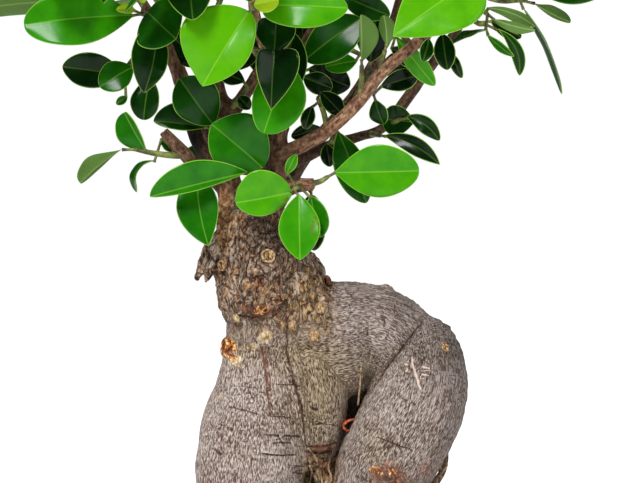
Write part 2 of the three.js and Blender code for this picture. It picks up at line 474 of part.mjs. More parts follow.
// Shoots that no leaf of the view belongs to: the top, the back and the sides of the crown. Each is a twig
// with its leaves turned by the golden angle. A leaf takes the first of its draws that is clear of the rest.
const shoots = {
  crown_left: { from: [-46, -2, 303], to: [-62, -22, 314], leaves: 5, seed: 11 },
  crown_inner: { from: [-41, 6, 270], to: [-30, 26, 300], leaves: 5, seed: 19 },
  crown_middle: { from: [-8, 11, 300], to: [-2, -14, 316], leaves: 5, seed: 23 },
  crown_front: { from: [-22, -22, 302], to: [-34, -40, 312], leaves: 6, seed: 31 },
  crown_right: { from: [13, 13, 304], to: [36, -6, 314], leaves: 5, seed: 47 },
  crown_far_left: { from: [-74, 6, 298], to: [-96, -4, 308], leaves: 5, seed: 53 },
  crown_far_right: { from: [70, -11, 301], to: [84, -18, 314], leaves: 5, seed: 67 },
  right_end: { from: [71, 13, 298], to: [96, 26, 306], leaves: 4, seed: 61 },
  back_top: { from: [-10, 56, 290], to: [-14, 50, 314], leaves: 5, seed: 83 },
  back_left: { from: [-58, 40, 282], to: [-74, 44, 302], leaves: 5, seed: 101 },
  back_right: { from: [35, 45, 284], to: [58, 48, 304], leaves: 5, seed: 127 },
};
const viewTop = 288;
const shade = 6;
const halfDeep = 71;
const halfWide = 133;
const goldenTurn = 137.5;
const petioleLong = 7;
const draws = 5;
const bladeGap = 4.6;
const woodGap = 2.6;

const draw = (n) => {
  const wave = Math.sin(n * 12.9898) * 43758.5453;
  return wave - Math.floor(wave);
};

// Points that a leaf is clear of, as [point, distance].
function bladeGuards(l) {
  const across = [-0.9, -0.45, 0, 0.45, 0.9];
  return range(6).flatMap((k) => across.map((c) => [bladePoint(l, 0.1 + 0.17 * k, c), bladeGap]));
}

function limbGuards(stations) {
  const [centre, halves] = limbCurves(stations);
  return range(25).map((k) => [centre.getPoint(k / 24), halves.getPoint(k / 24).x + woodGap]);
}

const isClear = (points, guards) => points.every(([p]) => guards.every(([q, r]) => p.distanceTo(q) >= r));

// A shoot's leaf keeps within the crown, and below the top of the view it stays behind the view's leaves.
const inView = (p) => [
  eye.x + (p.x - eye.x) / depthScale(p.y),
  eye.z + (p.z - eye.z) / depthScale(p.y),
];
const isInside = (points) => points.every(([p]) => Math.abs(p.y) < halfDeep && Math.abs(p.x) < halfWide);

function isShaded(points, cover) {
  return points.every(([p]) => {
    const [x, z] = inView(p);
    return z > viewTop || cover.some(([u, v]) => Math.hypot(u - x, v - z) < shade);
  });
}

function shootTwig({ from, to, seed }) {
  const middle = from.map((v, i) => (v + to[i]) / 2 + (draw(seed + i) - 0.5) * 6);
  return [[...from, 1.5], [...middle, 1.2], [...to, 0.8]];
}

function shootLeaf(curve, shoot, index, attempt) {
  const n = shoot.seed + 7.3 * index + 1.7 * attempt;
  const t = 0.3 + (0.68 * index) / (shoot.leaves - 1);
  const axis = curve.getTangent(t);
  const base = new THREE.Vector3(0, 0, 1).cross(axis).normalize();
  const turn = radians(goldenTurn * index + 360 * draw(shoot.seed) + 40 * attempt);
  const outward = base.applyAxisAngle(axis, turn);
  const open = radians(45 + 30 * draw(n + 0.31));
  const along = axis.clone().multiplyScalar(Math.cos(open)).addScaledVector(outward, Math.sin(open));
  along.z -= 0.12;
  along.normalize();
  const upper = axis.clone().multiplyScalar(0.5).add(new THREE.Vector3(0, 0, 0.9));
  const face = upper.addScaledVector(along, -upper.dot(along)).normalize();
  const long = 31 + 12 * draw(n + 0.57);
  const start = curve.getPoint(t).addScaledVector(along, petioleLong);
  return {
    start, end: start.clone().addScaledVector(along, long), face,
    wide: long * (0.46 + 0.1 * draw(n + 0.83)),
    arch: 2 + 2.5 * draw(n + 0.91), fold: 7 + 9 * draw(n + 0.97), ...plainForm,
  };
}

function growShoots(guards, cover) {
  const grown = {};
  guards.push(...Object.values(shoots).flatMap((shoot) => limbGuards(shootTwig(shoot))));
  for (const [name, shoot] of Object.entries(shoots)) {
    const twig = shootTwig(shoot);
    const [curve] = limbCurves(twig);
    const leaves = [];
    for (const index of range(shoot.leaves)) {
      for (const attempt of range(draws)) {
        const one = shootLeaf(curve, shoot, index, attempt);
        const points = bladeGuards(one);
        if (!isInside(points) || !isShaded(points, cover) || !isClear(points, guards)) continue;
        guards.push(...points);
        leaves.push(one);
        break;
      }
    }
    grown[name] = { twig, leaves };
  }
  return grown;
}

function stemSolid({ twig, leaves }) {
  const nodes = limbCurves(twig)[0].getPoints(24);
  const nearest = (p) => nodes.reduce((best, q) => (q.distanceTo(p) < best.distanceTo(p) ? q : best));
  return join([limb(twig, stemSides, 3), ...leaves.map((l) => leafSolid(l, nearest(l.start)))]);
}

const viewLeaves = Object.values(stems).flatMap((s) => s.leaves.flatMap(bladeGuards));
const bareLimbs = [
  ...Object.values(branches).map((l) => l.stations),
  ...Object.values(stems).map((s) => s.twig),
];
const crownGuards = [...viewLeaves, ...bareLimbs.flatMap(limbGuards)];
const grownStems = { ...stems, ...growShoots(crownGuards, viewLeaves.map(([p]) => inView(p))) };

// The pot: an oval bowl on four low feet, with a lip and two drain holes.
function ovalRing(share, z, inset = 0) {
  return range(pot.sides).map((i) => {
    const turn = (2 * Math.PI * i) / pot.sides;
    const power = (v) => Math.sign(v) * Math.abs(v) ** (2 / pot.roundness);
    const x = (pot.halfLength * share - inset) * power(Math.cos(turn));
    const y = (pot.halfWidth * share - inset) * power(Math.sin(turn));
    return new THREE.Vector3(x, y, z);
  });
}

function bowlShare(z) {
  const rise = (z - pot.floorLow) / (pot.height - pot.floorLow);
  return pot.baseShare + (1 - pot.baseShare) * rise ** 0.7;
}

function cylinder(x, y, radius, low, high, sides) {
  const upright = new THREE.CylinderGeometry(radius, radius, high - low, sides).rotateX(Math.PI / 2);
  return geometryToSolid(upright.translate(x, y, (low + high) / 2));
}

function box(x, y, z, wide, deep, high) {
  return geometryToSolid(new THREE.BoxGeometry(wide, deep, high).translate(x, y, z));
}

function potSolid() {
  const lipLow = pot.height - pot.lipHigh;
  const outside = [pot.floorLow, 16, 34, lipLow].map((z) => ovalRing(bowlShare(z), z));
  const lip = [lipLow + 1, pot.height].map((z) => ovalRing(bowlShare(z), z, -pot.lipOut));
  const inside = [pot.floorHigh, 22, 38, pot.height + 1].map((z) => ovalRing(bowlShare(z), z, pot.wall));
  const footX = pot.halfLength * pot.baseShare * pot.footOut;
  const footY = pot.halfWidth * pot.baseShare * pot.footOut;
  const feet = [[1, 1], [1, -1], [-1, -1], [-1, 1]]
    .map(([i, j]) => cylinder(i * footX, j * footY, pot.footHalf, 0, pot.floorLow + 2, pot.footSides));
  const holes = [-1, 1]
    .map((i) => cylinder(i * pot.holeAt, 0, pot.holeRadius, -1, pot.floorHigh + 1, pot.holeSides));
  return join([loft([...outside, ...lip]), ...feet]).subtract(join([loft(inside), ...holes]));
}

const meshBottom = pot.floorHigh + clearance;

function drainPlate(side, grow = 0) {
  const long = drainMesh.side + 2 * grow;
  return box(side * pot.holeAt, 0, meshBottom + drainMesh.thick / 2, long, long, drainMesh.thick + 2 * grow);
}

function drainMeshSolid(side) {
  const step = (drainMesh.side - drainMesh.bar) / drainMesh.openings;
  const open = step - drainMesh.bar;
  const places = range(drainMesh.openings).map((i) => (i - (drainMesh.openings - 1) / 2) * step);
  const opening = (x, y) => box(side * pot.holeAt + x, y, meshBottom, open, open, 4);
  const cuts = places.flatMap((x) => places.map((y) => opening(x, y)));
  return drainPlate(side).subtract(join(cuts));
}

// The soil fills the bowl to below the lip and rises a little round the roots, which stand in plain holes.
function soilSolid(woodHole) {
  const low = pot.floorHigh + clearance;
  const sides = [low, 22, 38, soil.edge].map((z) => ovalRing(bowlShare(z), z, pot.wall + clearance));
  const top = range(soil.rings).map((k) => {
    const share = 1 - (k + 1) / (soil.rings + 1);
    const height = soil.edge + soil.crest * (1 - share ** 2);
    return ovalRing(bowlShare(soil.edge) * share, height, pot.wall * share);
  });
  const holes = join([woodHole, drainPlate(-1, clearance), drainPlate(1, clearance)]);
  return loft([...sides, ...top]).subtract(holes);
}

const colours = {
  wood: '#8e8378', leaf: '#2f8a10', soil: '#4a3a2c', pot: '#7b4a34', mesh: '#2b2b2b',
};
const group = new THREE.Group();
group.name = 'ficus_ginseng_bonsai';

function place(name, solid, colour, roughness) {
  const material = new THREE.MeshStandardMaterial({ color: colour, roughness });
  const mesh = new THREE.Mesh(toGeometry(solid), material);
  mesh.name = name;
  group.add(mesh);
}

const woodHole = wood(clearance);
place('pot', potSolid(), colours.pot, 0.7);
place('drain_mesh_left', drainMeshSolid(-1), colours.mesh, 0.6);
place('drain_mesh_right', drainMeshSolid(1), colours.mesh, 0.6);
place('soil', soilSolid(woodHole), colours.soil, 0.95);
place('trunk', wood(), colours.wood, 0.85);
for (const [name, stem] of Object.entries(grownStems)) {
  place(`stem_${name}`, largest(stemSolid(stem).subtract(woodHole)), colours.leaf, 0.45);
}

export default group;
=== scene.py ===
import math

import bpy
import numpy as np
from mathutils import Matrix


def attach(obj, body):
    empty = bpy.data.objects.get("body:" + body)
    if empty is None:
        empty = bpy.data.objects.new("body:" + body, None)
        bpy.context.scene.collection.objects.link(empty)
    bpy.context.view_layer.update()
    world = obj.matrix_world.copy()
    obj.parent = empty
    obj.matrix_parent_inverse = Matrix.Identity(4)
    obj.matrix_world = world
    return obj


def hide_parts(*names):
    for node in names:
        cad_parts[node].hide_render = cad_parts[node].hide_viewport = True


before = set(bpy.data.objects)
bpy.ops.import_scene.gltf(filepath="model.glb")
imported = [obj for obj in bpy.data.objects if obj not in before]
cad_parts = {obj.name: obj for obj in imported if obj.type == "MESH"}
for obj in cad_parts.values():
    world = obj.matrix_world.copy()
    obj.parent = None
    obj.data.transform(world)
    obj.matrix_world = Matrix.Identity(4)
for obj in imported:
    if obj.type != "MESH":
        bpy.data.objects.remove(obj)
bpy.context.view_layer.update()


# The view
# The plant is looked at level and straight on, from a metre and a half in front. All of its places below are
# millimetres as this view shows them in the plane through the middle of the pot, with a depth y of their own.
METRE = 0.001
eye = np.array([4.8, -1500.0, 190.6])
view_wide = 257.6
sensor_wide = 36.0

camera_data = bpy.data.cameras.new("view")
camera_data.sensor_width = sensor_wide
camera_data.lens = sensor_wide * -eye[1] / view_wide
camera = bpy.data.objects.new("view", camera_data)
camera.location = eye * METRE
camera.rotation_euler = (math.radians(90.0), 0.0, 0.0)
bpy.context.scene.collection.objects.link(camera)
bpy.context.scene.camera = camera


def seen(places):
    """Moves each place along its line of sight to its depth: x and z leave the eye's by (distance + y) /
    distance."""
    places = np.asarray(places, float)
    scale = (places[:, 1] - eye[1]) / -eye[1]
    moved = eye + (places - eye) * scale[:, None]
    moved[:, 1] = places[:, 1]
    return moved


def view_of(points):
    """Where points are seen, as (x, z) in the plane of the view: what seen does, undone."""
    scale = (points[:, 1] - eye[1]) / -eye[1]
    return eye[[0, 2]] + (points[:, [0, 2]] - eye[[0, 2]]) / scale[:, None]


# The wood
# Swollen roots, the grafted neck, pruned stubs and the branches have grown together as one piece, under a
# thin grey-brown bark. Each limb is an oval bar along a smooth path, [x, y, z, half its width, half its
# depth], and the limbs are joined in one skin that is then shaped by its distance from them.
roots = {
    "left": [
        [-20, 0, 158, 9, 9], [-21.5, -2, 148, 12.5, 12.5], [-22, -3, 138, 14.8, 14.5],
        [-22, -3, 129, 17.2, 16.5], [-22.5, -3, 119, 19.7, 18.5], [-23.2, -3, 109, 21.4, 20],
        [-23.8, -3, 99, 21.8, 20.5], [-24.3, -3, 88, 20.6, 19.5], [-25, -2, 76, 17, 16.5],
        [-26, -1, 64, 13, 13], [-27, 0, 52, 9, 9], [-28, 1, 40, 5.5, 5.5], [-28, 1, 32, 3, 3]],
    "middle": [
        [0, -2, 158, 10, 10], [2, -3, 146, 12, 13], [3.6, -4, 136, 11.2, 13], [5, -4, 128, 10.2, 12.5],
        [5.6, -3.5, 120, 8.6, 11.5], [5, -3, 113, 7, 10], [4.8, -1, 106, 5.8, 8.5], [4.5, 1, 100, 5.4, 7.5],
        [5, 2, 90, 6.8, 8], [5, 3, 77, 6.5, 7], [4, 3, 64, 5, 5.5], [3, 3, 48, 3, 3]],
    "crack_web": [
        [-8, -2, 152, 9, 14], [-7.5, -4, 140, 8, 12.5], [-5.5, -5, 130, 7, 10.5], [-3.5, -5, 120, 5.5, 8.5],
        [-2, -4, 110, 4, 6.5], [-1, -3, 100, 3, 5]],
    "shoulder_web": [[4, 1, 152, 14, 16], [12, 0, 145, 12.5, 15], [16.5, 0, 138, 8.5, 13],
                     [18, 1, 132.5, 5, 9.5]],
    "shoulder": [
        [-8, 2, 150, 20, 17], [2, 2, 150.5, 22.5, 19], [12, 2, 151.5, 23.2, 20], [22, 2, 152.8, 21.4, 20],
        [30, 1, 151.4, 19.6, 19.5], [37, 0, 146.5, 17.4, 17.5], [43, -2, 139, 16, 16], [46, -4, 129, 12, 12]],
    "right": [
        [42, 0, 158, 5, 5], [45, -4, 151, 12.5, 11], [45.6, -7, 142, 16.6, 15.5], [44.5, -9, 131, 18.9, 17.5],
        [38.5, -9, 117, 19.9, 18.5], [31.5, -8, 103, 19.4, 18.5], [26.5, -7, 91, 17.4, 17],
        [23, -5, 78, 14, 14], [21.5, -3, 65, 10.5, 10.5], [21, -1, 52, 7, 7], [21, 0, 38, 3.5, 3.5]],
    "back_right": [
        [2, 8, 156, 10, 10], [12, 15, 143, 13, 12], [20, 20, 128, 14, 13], [22, 22, 112, 13.5, 12.5],
        [18, 22, 96, 12, 11.5], [12, 20, 80, 10, 9.5], [8, 18, 64, 7.5, 7.5], [6, 16, 46, 4, 4]],
    "back_left": [
        [-14, 8, 156, 10, 10], [-20, 16, 142, 12.5, 12], [-28, 21, 126, 12.5, 12], [-33, 23, 110, 12, 11.5],
        [-34, 22, 94, 11, 10.5], [-32, 20, 78, 9.5, 9], [-30, 19, 62, 7.5, 7.5], [-30, 18, 46, 4, 4]],
    "side_rootlet": [
        [52, -6, 113, 1.2], [54.2, -6, 106, 1.3], [53.2, -7, 99, 1.4], [50.2, -8, 94, 1.6], [46, -9, 86, 1.6],
        [42, -9, 74, 1.5], [39, -8, 60, 1.3], [38, -8, 50, 1]],
}
neck = {
    "graft": [
        [-14, 0, 140, 15, 13], [-14, 0, 150, 19.3, 17], [-13.2, 0, 158, 19.4, 18], [-14, 0, 165, 20.4, 19.5],
        [-15.6, 0, 172, 22, 20.5], [-18.8, 0, 178.5, 20, 19], [-22, 0, 186, 17, 16],
        [-24, 0, 195, 13.8, 13.5], [-24.5, 0, 203, 11.3, 11], [-24, 0, 209, 6, 6]],
    "torn_bark": [[-37, -2, 191, 3.2], [-40.4, -3, 186.5, 2.6], [-43, -3, 181, 2], [-45.4, -3, 175.4, 0.7]],
    "torn_bark_low": [[-36, -4, 186, 2.6], [-38.6, -5, 181.5, 2.2], [-41, -5, 177, 1.4],
                      [-42, -5, 173.8, 0.6]],
}
branches = {
    "left_fork": [
        [-29, 0, 196, 8], [-31, 0, 206, 5.6], [-32, 0, 214, 4.6], [-34, 4, 226, 3.8], [-34, 8, 240, 3.4],
        [-31, 10, 246, 2.6]],
    "left_top": [
        [-34, 8, 236, 2.8], [-37, 8, 254, 2.7], [-41, 6, 270, 2.4], [-45, 2, 288, 2], [-46.5, -2, 304, 1.5]],
    "inner_top": [
        [-34, 8, 238, 2.8], [-27, 12, 248, 2.7], [-18, 15, 263, 2.4], [-12, 14, 281, 2], [-8, 11, 301, 1.5]],
    "far_left": [
        [-32, 1, 210, 3.4], [-39, 4, 221, 3], [-45.5, 6, 232, 2.8], [-50, 8, 248, 2.7], [-54.5, 6, 262, 2.5],
        [-60, 3, 275, 2.1], [-68, 4, 288, 1.8], [-76, 6, 301, 1.3]],
    "cut_stub": [
        [-36, 0, 214, 3], [-44, -4, 219.5, 3], [-50, -7, 225.5, 2.8], [-55.5, -9, 231, 2.6],
        [-58.5, -10, 234.6, 2]],
    "right_stem": [
        [-18, 0, 196, 7], [-15, 0, 207, 5], [-13.2, 0, 216, 3.8], [-12.4, 0, 226, 3.3], [-11.5, 1, 238, 2.9],
        [-8, 6, 254, 2.6], [0, 12, 273, 2.3], [9, 14, 292, 1.8], [13.5, 13, 305, 1.4]],
    "right_main": [
        [-13, 0, 225, 3], [-5, -6, 228.4, 3], [7, -11, 235, 2.7], [19, -15, 246, 2.6], [29, -17, 258.6, 2.5],
        [41, -18, 268.6, 2.4], [52, -18, 279, 2.1], [62, -15, 291, 1.8], [71, -11, 303, 1.2]],
    "right_low": [
        [-13, 2, 219, 2.6], [-4, 6, 223.4, 2.5], [7, 10, 228.6, 2.3], [19, 12, 232.4, 2],
        [28.5, 12, 235.6, 2], [36, 13, 244, 2.3], [45, 14, 256.5, 2.2], [56, 13, 271, 1.9],
        [66, 13, 288, 1.5], [72, 13, 301, 1.1]],
    "back_left_branch": [
        [-26, 4, 198, 5], [-34, 20, 220, 3.2], [-46, 32, 245, 2.7], [-56, 40, 270, 2.1], [-60, 40, 288, 1.4]],
    "back_right_branch": [
        [-18, 4, 200, 5], [-2, 24, 225, 3.2], [18, 37, 249, 2.7], [31, 44, 273, 2.1], [36, 45, 289, 1.4]],
    "low_stub": [[-17, 0, 205, 4], [-11, -6, 210.5, 3.3], [-5, -10, 213, 2.9], [1.5, -12, 213.6, 2.3]],
    "front_top": [
        [-11.5, 1, 236, 2.8], [-13.5, -3, 252, 2.6], [-18, -11, 268, 2.4], [-22.5, -21, 284, 2.1],
        [-23, -22, 303, 1.5]],
    "back_middle_branch": [
        [-21, 6, 198, 5], [-18, 28, 226, 3], [-14, 45, 252, 2.5], [-11, 54, 276, 2], [-10, 55, 293, 1.4]],
}
# Pruned stubs and knobs on the neck: the middle of each one's face x, y, z, its radius, how far it stands
# out, and how clear the painted shade of the groove round it is.
stubs = [
    [-17, -18.2, 185, 2.7, 2.6, 1], [-36, -11.6, 182, 2.4, 2, 0.7], [-25, -18, 173.6, 2, 2.2, 0.2],
    [-28.5, -14, 161, 1.7, 1.6, 0.2], [1.5, -16.5, 153, 3, 2, 0], [-6.5, -18.4, 158, 2.6, 1.2, 0],
    [-3.5, -17.6, 173, 4, 2, 0], [5.5, -9, 174.5, 2.4, 1.2, 0.2], [-32.5, -9.5, 148.5, 4, 2.6, 0],
    [-19, -18, 152.5, 3.4, 1.2, 0]]
neck_middle = np.array([-16.0, 0.0])
skin_grain = 0.97


def along_path(stations, places):
    """Catmull-Rom curve through the stations' columns at places from 0 to 1: each span is the cubic whose
    slope at either end is half the step between that end's two neighbours. The first three columns are moved
    by seen."""
    rows = np.array([row if len(row) == 5 else row + [row[-1]] for row in stations], float)
    rows[:, :3] = seen(rows[:, :3])
    ends = (2 * rows[0] - rows[1], 2 * rows[-1] - rows[-2])
    rows = np.vstack([ends[0], rows, ends[1]])
    step = np.asarray(places, float) * (len(rows) - 3)
    k = np.minimum(step.astype(int), len(rows) - 4)
    w = (step - k)[:, None]
    before, start, end, after = (rows[k + i] for i in range(4))
    slope0, slope1 = (end - start + start - before) / 2, (after - start) / 2
    return ((2 * start - 2 * end + slope0 + slope1) * w ** 3
            + (3 * end - 3 * start - 2 * slope0 - slope1) * w ** 2 + slope0 * w + start)


def unit(rows):
    """Each row divided by its length."""
    return rows / np.maximum(np.linalg.norm(rows, axis=-1, keepdims=True), 1e-12)


def limb_frame(stations, count):
    """Middle, direction, the two turning axes and the half sizes at even steps of a limb. The first axis
    starts level, as y cross direction, and is carried along by taking its part along the path away at each
    step."""
    places = np.linspace(0, 1, count)
    rows = along_path(stations, places)
    ahead = along_path(stations, np.minimum(places + 1e-4, 1))[:, :3]
    behind = along_path(stations, np.maximum(places - 1e-4, 0))[:, :3]
    along = unit(ahead - behind)
    across = np.zeros_like(along)
    last = np.cross([0, 1, 0], along[0])
    if np.linalg.norm(last) <= 0.3:
        last = np.cross([0, 0, 1], along[0])
    for k, direction in enumerate(along):
        last = unit(last - direction * (direction @ last))
        across[k] = last
    return rows[:, :3], along, across, np.cross(along, across), rows[:, 3:]


def tube(rings):
    """A closed skin over rings of points, with a fan to the middle of each end ring."""
    count, sides = rings.shape[:2]
    points = np.vstack([rings.reshape(-1, 3), rings[0].mean(0), rings[-1].mean(0)])
    i = np.arange(sides)
    j = (i + 1) % sides
    low = (np.arange(count - 1) * sides)[:, None]
    sheet = np.stack([low + i, low + j, low + sides + j, low + sides + i], -1).reshape(-1, 4)
    first, last = count * sides, count * sides + 1
    top = i + (count - 1) * sides
    fans = [np.stack([np.full(sides, first), j, i], 1),
            np.stack([np.full(sides, last), top, np.roll(top, -1)], 1)]
    return points, sheet.tolist() + fans[0].tolist() + fans[1].tolist()


def bar(stations, count, sides):
    """The skin of one limb: ovals of half sizes a and b about its path, middle + a cos(turn) + b
    sin(turn)."""
    middle, _, across, deep, half = limb_frame(stations, count)
    turn = np.linspace(0, 2 * np.pi, sides, endpoint=False)[None, :, None]
    return tube(middle[:, None] + across[:, None] * half[:, None, :1] * np.cos(turn)
                + deep[:, None] * half[:, None, 1:] * np.sin(turn))


def piece_of(name, parts):
    """A new object from (points in millimetres, faces) pairs, with smooth faces."""
    points, faces, start = [], [], 0
    for some, polygons in parts:
        points.append(some)
        faces += [[start + v for v in polygon] for polygon in polygons]
        start += len(some)
    mesh = bpy.data.meshes.new(name)
    mesh.from_pydata(np.vstack(points) * METRE, [], faces)
    mesh.shade_smooth()
    made = bpy.data.objects.new(name, mesh)
    bpy.context.scene.collection.objects.link(made)
    return made


def points_of(mesh):
    """The mesh's points, in millimetres."""
    flat = np.empty(len(mesh.vertices) * 3)
    mesh.vertices.foreach_get("co", flat)
    return flat.reshape(-1, 3) / METRE


def set_points(mesh, points):
    """Puts points given in millimetres back into the mesh."""
    mesh.vertices.foreach_set("co", (points * METRE).ravel())
    mesh.update()


def normals_of(mesh):
    """The mesh's point normals."""
    flat = np.empty(len(mesh.vertices) * 3)
    mesh.vertex_normals.foreach_get("vector", flat)
    return flat.reshape(-1, 3)


def finished(made):
    """Replaces an object's mesh by what its modifiers make of it."""
    evaluated = made.evaluated_get(bpy.context.evaluated_depsgraph_get())
    baked = bpy.data.meshes.new_from_object(evaluated)
    made.modifiers.clear()
    made.data = baked
    made.data.shade_smooth()


def noise(points, seed=0):
    """Gradient noise: the corners of each unit cell hold random slopes, blended by 6 w^5 - 15 w^4 + 10
    w^3."""
    cell = np.floor(points).astype(np.int64)
    w = points - cell
    fade = w ** 3 * (w * (w * 6 - 15) + 10)
    total = np.zeros(len(points))
    for corner in np.ndindex(2, 2, 2):
        at = cell + corner
        key = (at[:, 0] * 73856093) ^ (at[:, 1] * 19349663) ^ (at[:, 2] * 83492791) ^ (seed * 2654435761)
        key = (key ^ (key >> 13)) * 1274126177 & 0x7FFFFFFF
        slope = np.stack([(key >> s & 1023) / 511.5 - 1 for s in (0, 10, 20)], 1)
        share = np.prod(np.where(corner, fade, 1 - fade), axis=1)
        total += share * ((w - corner) * slope).sum(1)
    return total


fat_limbs = [stations for name, stations in roots.items() if name != "side_rootlet"] + [*neck.values()]
limbs = fat_limbs + [*branches.values()]


def near_limb(points, stations, count=40):
    """Where points lie about one limb: their distance from its skin, and their place (across, deep, along)
    in the limb laid out straight. The distance is (oval radius - 1) times the mean half size, and past an
    end it grows by the step beyond it."""
    middle, along, across, deep, half = limb_frame(stations, count)
    square = (points ** 2).sum(1)[:, None] - 2 * points @ middle.T + (middle ** 2).sum(1)
    k = square.argmin(1)
    length = np.concatenate([[0], np.cumsum(np.linalg.norm(np.diff(middle, axis=0), axis=1))])
    offset = points - middle[k]
    arc = length[k] + (offset * along[k]).sum(1)
    inside = np.clip(arc, 0, length[-1])
    blend = [np.stack([np.interp(inside, length, rows[:, i]) for i in range(rows.shape[1])], 1)
             for rows in (middle, along, across, deep, half)]
    offset = points - blend[0]
    a = (offset * blend[2]).sum(1)
    b = (offset * blend[3]).sum(1)
    mean = np.sqrt(blend[4].prod(1))
    radial = (np.hypot(a / blend[4][:, 0], b / blend[4][:, 1]) - 1) * mean
    past = np.abs(arc - inside)
    return np.where(past > 0, np.hypot(np.maximum(radial, 0), past), radial), np.stack([a, b, arc], 1)


def read_limbs(points, blend):
    """For each point, of the limb whose skin is nearest: the distance, the place laid out straight and its
    number; and the distance from all limbs joined, rounded where they meet: -blend log(sum exp(-distance /
    blend))."""
    nearest = np.full(len(points), np.inf)
    place = np.zeros((len(points), 3))
    number = np.zeros(len(points), int)
    total = np.zeros(len(points))
    for k, stations in enumerate(limbs):
        gap, laid = near_limb(points, stations)
        total += np.exp(-np.clip(gap, -12, 30) / blend)
        closer = gap < nearest
        nearest[closer], place[closer], number[closer] = gap[closer], laid[closer], k
    return nearest, place, number, -blend * np.log(total)


def smooth(low, high, value):
    """0 up to low, 1 from high on, and 3 t^2 - 2 t^3 between."""
    t = np.clip((value - low) / (high - low), 0, 1)
    return t * t * (3 - 2 * t)


def line_gap(flat, line):
    """How far points of the view lie to the right of a curve through the line's points, by the cross product
    with its way, and where along it from 0 to 1."""
    path = along_path([[x, 0.0, z, 1.0] for x, z in line], np.linspace(0, 1, 40))[:, [0, 2]]
    way = np.gradient(path, axis=0)
    square = (flat ** 2).sum(1)[:, None] - 2 * flat @ path.T + (path ** 2).sum(1)
    k = square.argmin(1)
    offset = flat - path[k]
    step = (way[k] ** 2).sum(1)
    along = (k + (offset * way[k]).sum(1) / step) / 39
    return (offset[:, 0] * way[k, 1] - offset[:, 1] * way[k, 0]) / np.sqrt(step), along


